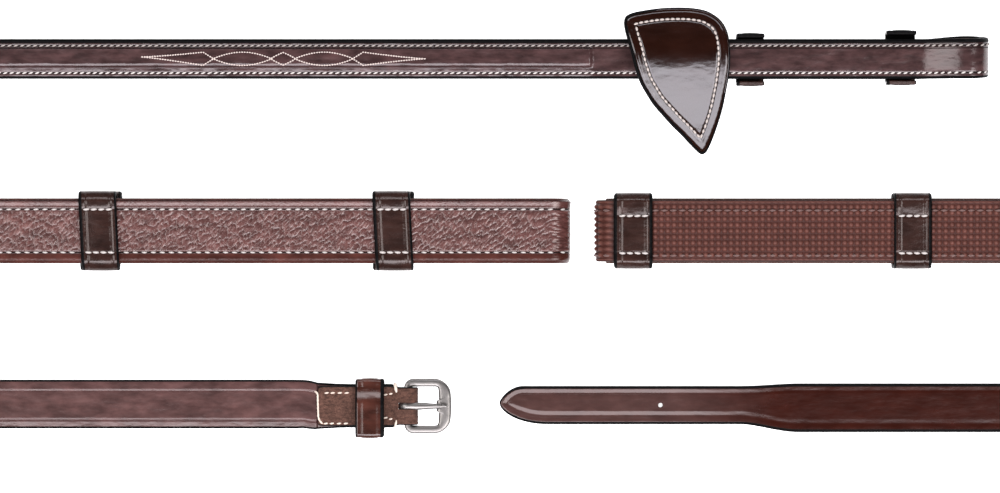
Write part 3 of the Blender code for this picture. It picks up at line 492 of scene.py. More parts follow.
def build(name, verts, quads, uv, material_index, materials, polygons=(), relief=None):
    """A mesh object from layout points and quads, plus any larger polygons with the last material index."""
    mesh = bpy.data.meshes.new(name)
    loops = np.concatenate([quads.ravel()] + [np.array(p[0]) for p in polygons]).astype(np.int32)
    totals = np.concatenate([np.full(len(quads), 4)] + [[len(p[0])] for p in polygons]).astype(np.int32)
    starts = np.concatenate([[0], np.cumsum(totals)[:-1]]).astype(np.int32)
    mesh.vertices.add(len(verts))
    mesh.vertices.foreach_set("co", to_metres(verts).astype(np.float32).ravel())
    mesh.loops.add(len(loops))
    mesh.loops.foreach_set("vertex_index", loops)
    mesh.polygons.add(len(totals))
    mesh.polygons.foreach_set("loop_start", starts)
    index = np.concatenate([np.broadcast_to(material_index, len(quads)), [p[1] for p in polygons]])
    mesh.polygons.foreach_set("material_index", index.astype(np.int32))
    mesh.update(calc_edges=True)
    layer = mesh.uv_layers.new(name="UVMap")
    layer.data.foreach_set("uv", np.asarray(uv, np.float32)[loops].ravel())
    if relief is not None:
        stored = mesh.attributes.new("relief", "FLOAT", "POINT")
        stored.data.foreach_set("value", relief.astype(np.float32).ravel())
    flags = np.full(len(totals), True)
    flags[len(quads):] = False
    mesh.polygons.foreach_set("use_smooth", flags)
    for material in materials:
        mesh.materials.append(material)
    mesh.validate()
    thing = bpy.data.objects.new(name, mesh)
    bpy.context.scene.collection.objects.link(thing)
    return thing


def tube(name, grid, uv, column_material, materials, cap=0, closed=False, relief=None):
    """A surface through closed rings, grid[ring, point]; closed also joins the last ring to the first."""
    rings, count = grid.shape[:2]
    last = rings if closed else rings - 1
    i, j = np.meshgrid(np.arange(last), np.arange(count), indexing="ij")
    i2, j2 = (i + 1) % rings, (j + 1) % count
    quads = np.stack([i * count + j, i * count + j2, i2 * count + j2, i2 * count + j], -1).reshape(-1, 4)
    material_index = np.broadcast_to(column_material, (last, count)).ravel()
    ends = []
    if not closed:
        ends = [(list(range(count))[::-1], cap), (list(range((rings - 1) * count, rings * count)), cap)]
    return build(name, grid.reshape(-1, 3), quads, uv.reshape(-1, 2), material_index, materials, ends, relief)


def finish(thing, body, slot, *replaced):
    if body:
        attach(thing, body)
    if replaced:
        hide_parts(*replaced)
    return thing


def spread(*runs):
    """Stations: runs are (start, end, spacing), end to end."""
    values = [np.linspace(a, b, max(2, int(math.ceil(abs(b - a) / gap)) + 1))[:-1] for a, b, gap in runs]
    return np.concatenate(values + [[runs[-1][1]]])


def outline(columns, corner_low, corner_high):
    """A slab's section as rows of (side, share, corner angle): bottom columns, corners, top columns.

    Returns arrays used by slab(): which part each point belongs to, its share across, and its angle.
    """
    rows = [(0, c, 0.0) for c in columns[1]]
    rows += [(1, 1.0, a) for a in np.linspace(-90, 0, 4)]
    rows += [(2, 1.0, a) for a in np.linspace(0, 90, 4)]
    rows += [(3, c, 0.0) for c in columns[0][::-1]]
    rows += [(2, -1.0, a) for a in np.linspace(90, 0, 4)]
    rows += [(1, -1.0, a) for a in np.linspace(0, -90, 4)]
    part, share, angle = (np.array(x) for x in zip(*rows))
    return part.astype(int), share, np.radians(angle), corner_low, corner_high


def slab(name, path, s, half, low, high, materials, shape, top=None, bottom=None, paint=(0.0, 0.0), dark=(),
         height=None, shift=0.0):
    """A strap ply. materials are grain side, flesh side, edge. top and bottom are reliefs of (s, t) in mm.

    paint is how far the third material comes in over the grain side, at its +t and -t edges: edge paint, and
    in places painted shade (the grip's lower border, the wider +t band of a bit strap). dark lists (t, half
    width) of grooves on the grain side in the fourth material, near-black painted shade. height(s, t) is
    stored as a mask for the materials that use it to paint shade where it is low, and shift moves the whole
    section across.
    """
    part, share, angle, r_low, r_high = shape
    s = np.asarray(s, float)[:, None]
    half, low, high, shift = (np.broadcast_to(np.asarray(v, float).reshape(-1, 1), s.shape)
                              for v in (half, low, high, shift))
    radius = np.where(part <= 1, r_low, r_high)[None, :]
    inner = half - radius
    corner = (part == 1) | (part == 2)
    t = np.where(corner, np.sign(share) * (inner + radius * np.cos(angle)), share * inner)
    t = t + shift
    n_low = np.where(part == 1, low + r_low * (1 + np.sin(angle)), low)
    n_high = np.where(part == 2, high - r_high * (1 - np.sin(angle)), high)
    lower = (part <= 1)[None, :] & np.ones_like(t, bool)
    n = np.where(lower, n_low, n_high)
    s_full = np.broadcast_to(s, t.shape)
    if top is not None:
        n = n + np.where(part == 3, top(s_full, t), 0.0)
    if bottom is not None:
        n = n - np.where(part == 0, bottom(s_full, t), 0.0)
    grid = path.on(s_full, t, n)
    uv = np.stack([s_full, np.where(lower, t + 40.0, t)], -1)
    next_t = np.roll(t, -1, 1)
    middle = (t + next_t) / 2
    margin = half - np.abs(middle - shift)
    inset = np.where(middle > 0, paint[0], paint[1])
    upright = (np.abs(angle) < math.radians(50)) & corner
    painted = (part == 1) | (upright & np.roll(corner, -1))[None, :] | (margin < inset)
    column = np.where(part == 0, 1, np.where(painted & (part != 0), 2, 0))
    column = np.where((part == 0)[None, :] & (np.roll(part, -1) == 0)[None, :], 1, column)
    for at, reach in dark:
        column = np.where((part == 3) & (np.abs(middle - at) < reach), 3, column)
    # Corners get 0 in the mask, so materials that read it paint them fully in shade.
    relief = None if height is None else np.where(corner, 0.0, height(s_full, t))
    return tube(name, grid, uv, column[:-1], materials, 2, relief=relief)


def columns(count, fine=()):
    """Shares across from -1 to 1, evenly, plus any extra ones."""
    return np.unique(np.round(np.concatenate([np.linspace(-1, 1, count), fine]), 5))


def band_section(count, steps):
    """A band round a strap: which part each point belongs to, its share across, and its corner angle."""
    share = columns(count)
    rows = [(0, c, 0.0) for c in share[:-1]] + [(1, 1.0, a) for a in np.linspace(-90, 90, steps)[:-1]]
    rows += [(3, c, 0.0) for c in share[::-1][:-1]] + [(1, -1.0, a) for a in np.linspace(90, 270, steps)[:-1]]
    part, c, angle = (np.array(x) for x in zip(*rows))
    return part, c, np.radians(angle)


def rounded(corners, steps, spacing):
    """A closed outline through quarter circles, each (x, y, start angle, radius), and filled in."""
    points = [(x + radius * math.cos(a), y + radius * math.sin(a))
              for x, y, start, radius in corners for a in np.radians(np.linspace(start, start + 90, steps))]
    filled = []
    for p, q in zip(points, points[1:] + points[:1]):
        count = max(1, int(math.hypot(q[0] - p[0], q[1] - p[1]) / spacing))
        filled += [(p[0] + (q[0] - p[0]) * i / count, p[1] + (q[1] - p[1]) * i / count) for i in range(count)]
    return filled


def dent(x, at, half_width):
    """A rounded bump of height 1."""
    return np.where(np.abs(x - at) < half_width, 0.5 + 0.5 * np.cos(np.pi * (x - at) / half_width), 0.0)


def worley(u, v, size, seed, table=64):
    """Distances to the nearest and second nearest of jittered points on a grid of this size."""
    jitter = np.random.RandomState(seed).rand(table, table, 2) * 0.9 + 0.05
    u, v = u / size, v / size
    iu, iv = np.floor(u).astype(int), np.floor(v).astype(int)
    best = np.full(u.shape, 9.0)
    second = best.copy()
    for du in (-1, 0, 1):
        for dv in (-1, 0, 1):
            seedling = jitter[(iu + du) % table, (iv + dv) % table]
            d = np.hypot(iu + du + seedling[..., 0] - u, iv + dv + seedling[..., 1] - v)
            second = np.where(d < best, best, np.minimum(second, d))
            best = np.minimum(best, d)
    return best * size, second * size


def pebbles(s, t):
    """Embossed pebble grain, 0 to 1: rounded cells drawn out along one diagonal, parted by narrow valleys."""
    a = math.radians(64.0)
    u, v = s * math.cos(a) + t * math.sin(a), -s * math.sin(a) + t * math.cos(a)
    bend = 0.12 * np.sin(u * 1.1 + 0.25 * s)
    nearest, second = worley(u * 0.27 + v * 0.4, v * 1.2 + bend, 0.80, 5)
    return 1 - np.exp(-(second - nearest) / 0.24)


def pimples(s, t):
    """A grid of small rounded pimples, 0 to 1."""
    u = (s / 2.1 + 0.5) % 1.0 - 0.5
    v = (t / 2.0 + 0.5) % 1.0 - 0.5
    r = (np.abs(u * 2.1 / 0.92) ** 2.4 + np.abs(v * 2.0 / 0.88) ** 2.4) ** (1 / 2.4)
    return clamp(1 - r ** 2.2) ** 0.8


def stitches(name, centre, along, normal, length, radius, arch, sink, body, material, slot, rings=9, sides=8):
    """Threads lying in pairs of holes: each is an arched, twisted cord with its ends in the leather."""
    centre, along, normal = (np.asarray(v, float)[:, None, None, :] for v in (centre, along, normal))
    side = np.cross(normal, along)
    k = np.linspace(-1, 1, rings)[None, :, None, None]
    phi = np.linspace(0, 2 * np.pi, sides, endpoint=False)[None, None, :, None]
    taper = np.sqrt(clamp(1 - np.abs(k) ** 5 * 0.97))
    r = radius * taper * (1 + 0.16 * np.cos(2 * (phi - 2.2 * k)))
    spine = centre + along * (k * length / 2) + normal * (arch * (1 - k ** 2) - sink)
    grid = spine + side * (r * np.cos(phi)) + normal * (r * np.sin(phi))
    count = len(grid)
    ring, point = np.meshgrid(np.arange(rings - 1), np.arange(sides), indexing="ij")
    one = np.stack([ring * sides + point, ring * sides + (point + 1) % sides,
                    (ring + 1) * sides + (point + 1) % sides, (ring + 1) * sides + point], -1).reshape(-1, 4)
    offsets = np.arange(count)[:, None, None] * rings * sides
    quads = (one[None] + offsets).reshape(-1, 4)
    verts = grid.reshape(-1, 3)
    k, phi = (np.broadcast_to(v, grid.shape[:3] + (1,)) for v in (k, phi))
    uv = np.stack([k * length, phi], -1).reshape(-1, 2)
    uv = uv + np.repeat(np.arange(count) * 3.7, rings * sides)[:, None]
    cap_a = np.arange(sides)[::-1]
    cap_b = np.arange(sides) + (rings - 1) * sides
    ends = [((cap + o * rings * sides).tolist(), 0) for o in range(count) for cap in (cap_a, cap_b)]
    thing = build(name, verts, quads[:, ::-1], uv, 0, [material], [(p[::-1], m) for p, m in ends])
    return finish(thing, body, slot)


def seam(path, s, t, n, slant=0.0, face=1, turned=0.0):
    """Centres, directions and normals for stitches on a path. slant is degrees from the strap's length."""
    s = np.asarray(s, float)
    t, n = np.broadcast_to(t, s.shape), np.broadcast_to(n, s.shape)
    place, across, up, along = path.frame(s)
    a = np.radians(slant) + np.broadcast_to(np.radians(turned), s.shape)
    direction = along * np.cos(a)[:, None] + across * np.sin(a)[:, None]
    return place + across * t[:, None] + up * n[:, None], direction, up * face


def joined(*seams):
    return [np.concatenate(parts) for parts in zip(*seams)]


# ---------------------------------------------------------------- hand grips

GRIP_STITCH_AT, STOP_STITCH_PITCH = 7.15, 2.5
BACK_STITCH_AT = (6.8, -8.2)
STOP_STITCH_AT = {"a": (7.15, -7.15), "b": (5.0, -7.4)}


def leather_relief(s, t):
    """Pebble grain between the stitch rows, and a smooth rolled border outside each."""
    inside = 1 - step(np.abs(t), 6.6, 7.0)
    groove = 0.30 * dent(np.abs(t), GRIP_STITCH_AT, 0.6)
    roll = 0.28 * dent(t, 9.9, 2.0) - 0.08 * step(-t, 9.2, 9.6)
    creases = 0.05 * pebbles(s * 1.6, t * 0.8)
    return 0.30 * pebbles(s, t) * inside + (0.12 + creases) * (1 - inside) - groove + roll


# Mask of painted shade on the grip grain: low in pebble valleys, at the stitch rows, at the outer edges,
# lower on the -t border.
def leather_shade_mask(s, t):
    inside = 1 - step(np.abs(t), 6.6, 7.0)
    border = np.where(t > 0, 0.6, 0.3) * (1 - 0.75 * dent(np.abs(t), 7.4, 1.1))
    border = border * (1 - 0.6 * step(np.abs(t), 9.4, 10.2))
    return (0.15 + 0.85 * pebbles(s, t)) * inside + border * (1 - inside)


# Mask of painted shade on the rubber: low between the pimples.
def rubber_shade_mask(s, t):
    inside = 1 - step(np.abs(t), 9.3, 9.8)
    return pimples(s, t) * inside + 0.8 * (1 - inside)


def rubber_relief(s, t):
    return 0.80 * pimples(s, t) * (1 - step(np.abs(t), 9.3, 9.8))


def grip(half):
    path, body = PATHS[half], f"grip_{half}"
    s0, s1 = path.middle("turn_1") + 0.5, path.middle("turn_2") - 1.1
    upper, lower = path.start("upper"), path.start("grip_fold")
    ply = GRIP_CORE / 2 + GAP
    stations = spread((s0, upper - 12, 0.6), (upper - 12, lower, 0.24), (lower, s1, 0.6))
    coarse = spread((s0, s1, 1.2))
    fine = outline((columns(90), columns(7)), 0.25, 1.0)
    # Painted shade: a darker grain copy over the lower border and edges, near-black stitch grooves,
    # mask-darkened valleys.
    grain = slab(f"grip_leather_{half}", path, stations, LEATHER_WIDTH, ply, GRIP_HALF,
                 [GRAINED, FLESH, GRAINED_SHADED, GROOVE_SHADE], fine, top=leather_relief,
                 paint=(0.0, 3.4), dark=((GRIP_STITCH_AT, 0.28), (-GRIP_STITCH_AT, 0.28)),
                     height=leather_shade_mask)
    finish(grain, body, "grained_leather", f"grip_leather_{half}")
    flipped = outline((columns(7), columns(60)), 0.5, 0.25)
    back = slab(f"grip_rubber_{half}", path, stations, RUBBER_WIDTH, -GRIP_HALF, -ply,
                [RUBBER, RUBBER, RUBBER_EDGE], flipped, bottom=rubber_relief, height=rubber_shade_mask)
    finish(back, body, "rubber_back", f"grip_rubber_{half}")
    core_half = GRIP_CORE / 2 + 0.2
    core = slab(f"grip_core_{half}", path, coarse, CORE_WIDTH + 0.4, -core_half, core_half,
                [LINING, LINING, EDGE_PAINT_AND_SHADE], outline((columns(5), columns(5)), 0.4, 0.4))
    finish(core, body, "lining_leather", f"grip_core_{half}")

    places = [path.start("twist_2") - TURN_STOP]
    places += [path.at_x("upper", x) for x in STOPS[half]]
    places += [path.at_x("lower", x) for x in STOPS_HIDDEN[half]]
    places += [path.start("turn_2") + TURN_STOP]
    for number, s in enumerate(places, 1):
        hand_stop(half, number, path, s, body)

    clear = STOP_LENGTH / 2 + 0.7
    runs = [s for s in np.arange(s0 + 12, s1 - 12, 3.0) if min(abs(s - p) for p in places) > clear]
    runs = np.array(runs)
    top = joined(*(seam(path, runs, GRIP_STITCH_AT * row, GRIP_HALF - 0.12, 5 * row) for row in (1, -1)))
    stitches(f"grip_stitches_{half}", *top, 1.8, 0.29, 0.24, 0.02, body, WHITE, "grained_leather")
    below = joined(*(seam(path, runs, t, -GRIP_HALF - 0.45, 0, -1) for t in BACK_STITCH_AT))
    stitches(f"grip_back_stitches_{half}", *below, 2.3, 0.32, 0.2, 0.03, body, TAN, "rubber_back")


def hand_stop(half, number, path, middle, body):
    """A leather band sewn round the grip, creased along its sides and rolled over the grip's edges."""
    inner_half, inner_thick = LEATHER_WIDTH + GAP, GRIP_HALF + GAP
    spread_out = (STOP_WIDTH[half] - inner_half) / STOP_LEATHER
    reach, soft = STOP_LENGTH / 2, 0.75
    along = np.linspace(-reach + soft, reach - soft, 33)
    arc = np.radians(np.linspace(0, 90, 5))[:-1]
    ds = np.concatenate([-reach + soft - soft * np.cos(arc), along, (reach - soft + soft * np.cos(arc))[::-1],
                         np.linspace(reach - 0.3, -reach + 0.3, 5)])
    rise = np.concatenate([STOP_LEATHER - soft + soft * np.sin(arc), np.full(33, STOP_LEATHER),
                           (STOP_LEATHER - soft + soft * np.sin(arc))[::-1], np.zeros(5)])
    outer = np.concatenate([np.ones(41, bool), np.zeros(5, bool)])
    part, c, angle = band_section(41, 13)
    ds, rise, outer = ds[:, None], rise[:, None], outer[:, None]
    round_inner = 1.5
    radius = round_inner + rise
    flat = inner_half - round_inner
    bulge = radius * spread_out ** 0.5 * np.abs(np.cos(angle)) * np.sign(c)
    t = np.where(part == 1, c * flat + bulge, c * flat)
    t = t * np.ones_like(rise)
    thick = inner_thick + rise
    n = np.where(part == 0, -thick, thick)
    corner_n = np.sin(angle) * radius + np.sign(np.sin(angle)) * (inner_thick - round_inner)
    n = np.where(part == 1, corner_n, n)
    rows_at = STOP_STITCH_AT[half]
    side = np.sign(n)
    groove = sum(dent(t, at, 0.5) for at in rows_at)
    crease = dent(np.abs(ds), reach - 2.1, 0.55)
    dome = 0.30 * (1 - (ds / reach) ** 2)
    centre_t = sum(rows_at) / 2
    over = 0.30 * step(np.abs(t - centre_t), 6.5, 9.5) - 0.35 * step(np.abs(t), 10.6, inner_half)
    lift = np.where(outer, dome + over - 0.22 * groove - 0.34 * crease, 0.0)
    lift = lift * (rise > STOP_LEATHER - 0.5)
    n = n + side * lift
    t = t + np.where(outer & (part == 1), np.sign(c) * 0.3 * (dome - 0.2) * np.abs(np.cos(angle)), 0)
    lean = -0.05 * t if half == "a" else 0.0 * t
    grid = path.on(middle + ds + lean, t, n)
    uv = np.stack([middle + ds + 0 * t, t + 50 * side], -1)
    painted = np.broadcast_to(outer & (np.abs(ds) > reach - 0.8), t.shape)
    thing = tube(f"hand_stop_{half}{number}", grid, uv, np.where(painted, 1, 0), [STOP_LEATHER_LOOK, EDGE_PAINT_AND_SHADE],
                 closed=True)
    finish(thing, body, "dark_leather", f"hand_stop_{half}{number}")
    at = middle + STOP_STITCH_PITCH * np.array((-1.5, -0.5, 0.5, 1.5))
    lean = 0.05 if half == "a" else 0.0
    height = GRIP_HALF + GAP + STOP_LEATHER + 0.08
    threads = joined(*(seam(path, at - lean * row, row, face * height, 5 * face * np.sign(row), face)
                       for row in rows_at for face in (1, -1)))
    stitches(f"hand_stop_stitches_{half}{number}", *threads, 2.2, 0.38, 0.3, 0.05, body, WHITE,
             "dark_leather")


# ---------------------------------------------------------------- bit ends

def belt(name, path, s0, s1, line, thickness, materials, closed=False, soft=0.4, relief=0.0, paint=0.9,
         shade_from=99.0):
    """A band of leather whose centre line is a polyline in (t, n), rounded at its sides.

    Its sides are painted for a width of paint; an open band also takes the edge material, as painted shade,
    where t is past its last argument.
    """
    line = np.array(line, float)
    if closed:
        before, after = np.roll(line, 1, 0), np.roll(line, -1, 0)
    else:
        before = np.concatenate([line[:1], line[:-1]])
        after = np.concatenate([line[1:], line[-1:]])
    tangent = unit(after - before)
    normal = np.stack([tangent[:, 1], -tangent[:, 0]], -1)
    length = s1 - s0
    ends = np.radians(np.linspace(0, 90, 5))
    ds = np.concatenate([soft * (1 - np.cos(ends))[:-1], np.linspace(soft, length - soft, 15),
                         length - soft * (1 - np.cos(ends))[:-1][::-1]])
    half = thickness / 2 - soft + np.concatenate([soft * np.sin(ends)[:-1], np.full(15, soft),
                                                  (soft * np.sin(ends)[:-1])[::-1]])
    mid = np.abs(ds - length / 2) / (length / 2)
    bulge = relief * (1 - mid ** 2) - 0.32 * relief * dent(mid, 0.66, 0.12)
    if closed:
        grid_ds = np.concatenate([ds, ds[::-1]])
        offset = np.concatenate([half + bulge, -half[::-1]])
        t = line[None, :, 0] + normal[None, :, 0] * offset[:, None]
        n = line[None, :, 1] + normal[None, :, 1] * offset[:, None]
        grid = path.on(s0 + grid_ds[:, None] + 0 * t, t, n)
        run = distances_along(line)
        uv = np.stack([s0 + grid_ds[:, None] + 0 * t, run[None, :] + 0 * t], -1)
        edge = (np.minimum(grid_ds, length - grid_ds) < paint)[:, None] & np.ones_like(t, bool)
        return tube(name, grid, uv, np.where(edge, 1, 0), materials, closed=True)
    cap = np.radians(np.linspace(90, -90, 7))[1:-1]
    rings = []
    for h, b in zip(half, bulge):
        out = line + normal * (h + b)
        back = (line - normal * h)[::-1]
        first = line[-1] + tangent[-1] * (np.cos(cap) * h)[:, None] + normal[-1] * (np.sin(cap) * h)[:, None]
        last = line[0] - tangent[0] * (np.cos(cap) * h)[:, None] - normal[0] * (np.sin(cap) * h)[:, None]
        rings.append(np.concatenate([out, first, back, last]))
    rings = np.array(rings)
    grid = path.on(s0 + ds[:, None] + 0 * rings[..., 0], rings[..., 0], rings[..., 1])
    run = distances_along(rings[8])
    uv = np.stack([s0 + ds[:, None] + 0 * rings[..., 0], run[None, :] + 0 * rings[..., 0]], -1)
    # Past the given t the edge material stands as painted shade.
    edge = (np.minimum(ds, length - ds) < paint)[:-1, None] | (rings[:-1, :, 0] > shade_from)
    return tube(name, grid, uv, np.where(edge, 1, 0), materials)


def u_line(half, top, floor, radius=0.9, per=8):
    """From the top of one arm, under the strap and up to the top of the other, in (t, n)."""
    arm = [(-half, n) for n in np.linspace(top, floor + radius, per)]
    bend = [(-half + radius - radius * math.cos(a), floor + radius - radius * math.sin(a))
            for a in np.radians(np.linspace(15, 90, 6))]
    base = [(t, floor) for t in np.linspace(-half + radius, half - radius, 14)[1:]]
    right = [(-t, n) for t, n in (arm + bend)[::-1]][:-1]
    return arm + bend + base + right[1:] + [(half, top)]


def bit_end(half):
    path, sign, body = PATHS[half], SIGNS[half], f"bit_end_{half}"
    s0 = path.middle("turn_2") + 1.1
    panel_end = path.at_x("bit_row", sign * PANEL_END)
    straight = path.start("bit_row")
    billet = path.start("billet")

    def top(s, t):
        ended = 1 - step(s, panel_end - 0.1, panel_end + 0.6)
        flank = 1 - np.where(t > 0, step(t, 3.2, 3.75), step(-t, 2.35, 2.95))
        shoulder = 0.26 * clamp((-t - 1.6) / 0.75)
        border = 0.22 * clamp((-t - 2.9) / 1.3) + 0.16 * clamp((-t - 5.35) / 0.55)
        panel = (0.98 - shoulder) * flank * ended
        return panel + 0.16 - border * (0.4 + 0.6 * ended) - 0.22 * dent(np.abs(t + 0.15), 4.55, 0.5)

    def under(s, t):
        return -0.2 * dent(np.abs(t), 4.55, 0.6)

    def half_width(s):
        left = clamp((path.length - s) / 7.0)
        return BIT_WIDTH * np.sqrt(clamp(1 - (1 - left) ** 2 * 0.97, 0.02))

    stations = spread((s0, straight, 0.8), (straight, billet, 0.55), (billet, path.length - 6, 0.9),
                      (path.length - 6, path.length, 0.4))
    fine = outline((columns(45, (-.52, -.5, .5, .52)), columns(9)), 0.2, 0.6)
    width = half_width(stations)
    # Painted shade: the mask darkens the +t side past the panel; near-black grooves run in the stitch rows
    # and at t = 3.45.
    # The +t edge band, 1.35 mm against 0.8 mm, is edge paint widened by painted shade.
    outer = slab(f"bit_strap_{half}", path, stations, width, GAP / 2, BIT_HALF, [BRIDLE, FLESH, EDGE_PAINT_AND_SHADE, GROOVE_SHADE],
                 fine, top=top, paint=(1.35, 0.8), dark=((UPPER_ROW, 0.3), (LOWER_ROW, 0.3), (3.45, 0.2)),
                 height=lambda s, t: 1 - 0.8 * step(t, 3.3, 3.9))
    finish(outer, body, "bridle_leather", f"bit_strap_{half}")
    lining = slab(f"bit_lining_{half}", path, stations, width, -BIT_HALF, -GAP / 2, [LINING, LINING, EDGE_PAINT_AND_SHADE],
                  outline((columns(5), columns(27)), 0.7, 0.2), bottom=under)
    finish(lining, body, "lining_leather", f"bit_lining_{half}")

    at = np.arange(s0 + 12, path.length - 4, BIT_PITCH)
    # The lower row takes the lighter copy of the cream thread: painted highlight.
    for name, t, n, colour in (("upper", UPPER_ROW, 0.04, CREAM), ("lower", LOWER_ROW, -0.20, CREAM_LIT)):
        line = seam(path, at - 0.08 * t, t, BIT_HALF + n, 19)
        stitches(f"bit_stitches_{name}_{half}", *line, 1.6, 0.27, 0.22, 0.02, body, colour, "bridle_leather")
    below = joined(*(seam(path, at + late, t, -BIT_HALF + 0.1, 27, -1)
                     for late, t in ((0.0, UPPER_ROW), (0.4, LOWER_ROW))))
    stitches(f"bit_back_stitches_{half}", *below, 1.55, 0.26, 0.22, 0.04, body, CREAM, "lining_leather", 7, 6)
    fancy_stitching(half, path, path.at_x("bit_row", sign * -72.3), body)

    for name, x0, x1, above, below in KEEPERS:
        floor = BILLET_HEIGHT - BIT_HALF - GAP - BIT_HEIGHT
        line = [(t + (above if t > 0 else -below) * min(1.0, abs(t) / BIT_WIDTH), n)
                for t, n in u_line(BIT_WIDTH + GAP + 0.7, 0.55, floor - 0.7)]
        s_a, s_b = path.at_x("bit_row", sign * x0), path.at_x("bit_row", sign * x1)
        # The keeper's +t side is in the near-black edge material: painted shade.
        keeper = belt(f"{name}_keeper_{half}", path, s_a, s_b, line, 1.4, [DARK, EDGE_PAINT_AND_SHADE], relief=0.25,
                      shade_from=0.0)
        finish(keeper, body, "dark_leather", f"{name}_keeper_{half}")


def fancy_stitching(half, path, middle, body):
    """Fine decorative stitching on the panel: two mirrored lines that swell into a diamond and ovals."""
    def height(x):
        x = np.abs(x)
        oval = 2.2 * np.sin(np.pi * clamp((x - 4.0) / 19.2)) ** 0.85
        leaf = 2.2 * clamp((x - 23.2) / 3.5) * (1 - clamp((x - 26.7) / 20.6)) ** 1.25
        return np.where(x < 4.0, 2.1 * clamp(1 - x / 4.0) ** 0.8, np.where(x < 23.2, oval, leaf))

    x = np.linspace(-47.3, 47.3, 2400)
    line = np.column_stack([x, height(x)])
    x_at, y_at = points_along(line, np.arange(0.3, distances_along(line)[-1], FANCY_PITCH)).T
    slope = np.degrees(np.arctan2(height(x_at + 0.05) - height(x_at - 0.05), 0.1))
    drift = FANCY_LEAN * clamp((-x_at - 27.0) / 20.0)
    height_at = BIT_HALF + 1.14 - 0.05 * y_at
    threads = joined(*(seam(path, middle + x_at, side * y_at + drift, height_at, 0.0, 1, side * slope)
                       for side in (1, -1)))
    stitches(f"fancy_stitches_{half}", *threads, 0.80, 0.22, 0.07, 0.0, body, FANCY, "bridle_leather", 5, 6)


# ---------------------------------------------------------------- martingale stops

SHIELD = ((41.3, 12.3), (42.0, 14.2), (44.5, 15.4), (48.5, 16.2), (54.0, 16.9), (60.0, 17.1),
          (65.0, 16.8), (69.0, 15.9), (72.4, 13.9), (74.6, 11.4), (76.0, 7.9), (76.6, 3.0),
          (76.6, -2.0), (76.2, -6.0), (75.4, -11.0), (74.2, -17.0), (72.6, -22.5), (71.0, -27.0),
          (69.6, -30.2), (68.7, -31.4), (67.6, -31.8), (66.4, -31.2), (63.9, -28.8), (60.6, -25.4),
          (57.2, -22.1), (54.2, -18.8), (51.2, -15.4), (48.7, -11.6), (46.6, -7.8), (44.9, -3.0),
          (43.6, 2.0), (42.5, 6.0), (41.6, 9.5))
SHIELD_HEART = np.array((61.0, -2.0))
STOP_RIDGE, RIDGE_AT, STOP_SOFTNESS, STOP_SLOPE = 10.3, 2.5, 4.5, math.tan(math.radians(15.0))
STITCH_INSET, SHIELD_PITCH, BACKING_PLY, FACE_PLY, LOOP_PLY = 3.9, 1.73, 1.2, 1.6, 1.4


def smooth_loop(points, per=8):
    """A closed Catmull-Rom curve through the points."""
    p = np.array(points, float)
    k = np.linspace(0, 1, per, endpoint=False)[:, None]
    parts = []
    for i in range(len(p)):
        a, b, c, d = p[i - 1], p[i], p[(i + 1) % len(p)], p[(i + 2) % len(p)]
        parts.append(0.5 * (2 * b + (c - a) * k + (2 * a - 5 * b + 4 * c - d) * k ** 2
                            + (3 * b - a - 3 * c + d) * k ** 3))
    return np.concatenate(parts)


def distance_to(loop, x, y):
    """Distance from points to a closed polyline."""
    a, b = loop, np.roll(loop, -1, 0)
    ab = b - a
    px, py = x.ravel()[:, None], y.ravel()[:, None]
    k = clamp(((px - a[:, 0]) * ab[:, 0] + (py - a[:, 1]) * ab[:, 1]) / np.maximum((ab ** 2).sum(1), 1e-9))
    d = np.hypot(px - a[:, 0] - k * ab[:, 0], py - a[:, 1] - k * ab[:, 1])
    return d.min(1).reshape(x.shape)


def roof(y):
    """The height of the stop's underside across the strap: a soft ridge, and a point that droops."""
    droop = 2.4 * clamp((-y - 10.0) / 22.0) ** 2
    return STOP_RIDGE - (np.hypot(y - RIDGE_AT, STOP_SOFTNESS) - STOP_SOFTNESS) * STOP_SLOPE - droop


def shield_plate(name, half, row, sign, low, thickness, materials, relief, slot, paint):
    loop = smooth_loop(SHIELD)[::-1]
    inset = np.concatenate([[0.0], np.arange(0.3, 6.8, 0.3), (7.4, 8.4, 9.6, 11.0, 12.5, 14.0)])
    reach = np.linalg.norm(loop - SHIELD_HEART, axis=1)
    share = [1 - i / 19.0 for i in inset] + [0.17, 0.1, 0.04, 0.004]
    arc = np.radians(np.linspace(-90, 90, 9))
    soft = thickness / 2
    rings = [(k, 0.0, 0) for k in share[::-1][:-1]]
    rings += [(1.0, thickness / 2 * (1 + math.sin(a)), math.cos(a)) for a in arc]
    rings += [(k, thickness, 2) for k in share[1:]]
    grid, uv, columns_material = [], [], []
    for k, z, kind in rings:
        on_rim = k == 1.0
        shrink = (soft * (1 - kind)) if on_rim else 0.0
        here = SHIELD_HEART + (loop - SHIELD_HEART) * (k - (shrink / reach)[:, None])
        d = distance_to(loop, here[:, 0], here[:, 1])
        x, y = here[:, 0], here[:, 1]
        lift = relief(x, y, d) if (kind == 2 and not on_rim) else 0.0
        height = roof(y) + low + z + lift
        grid.append(np.stack([sign * x, row + y, height], -1))
        uv.append(np.stack([x, y], -1))
        band = paint(x, y)
        columns_material.append(np.where((d < band) & (z > 0.01), 1, 0))
    grid, uv = np.array(grid), np.array(uv)
    index = np.array(columns_material)[:-1]
    if sign < 0:
        grid, uv, index = grid[:, ::-1], uv[:, ::-1], index[:, ::-1]
    thing = tube(name, grid, uv, index, materials)
    return finish(thing, f"martingale_stop_{half}", slot, name)


def shield_relief(x, y, d):
    groove = 0.26 * dent(d, STITCH_INSET, 0.85)
    rim = 0.2 * dent(d, 1.5, 1.1) - 0.42 * (1 - clamp(d / 2.7)) ** 2
    return rim - groove


def shield_paint(x, y):
    """The painted rim is wider down the side that faces the grip."""
    return 0.45 + 0.45 * step(60 - x - 0.4 * y, 0.0, 10.0)


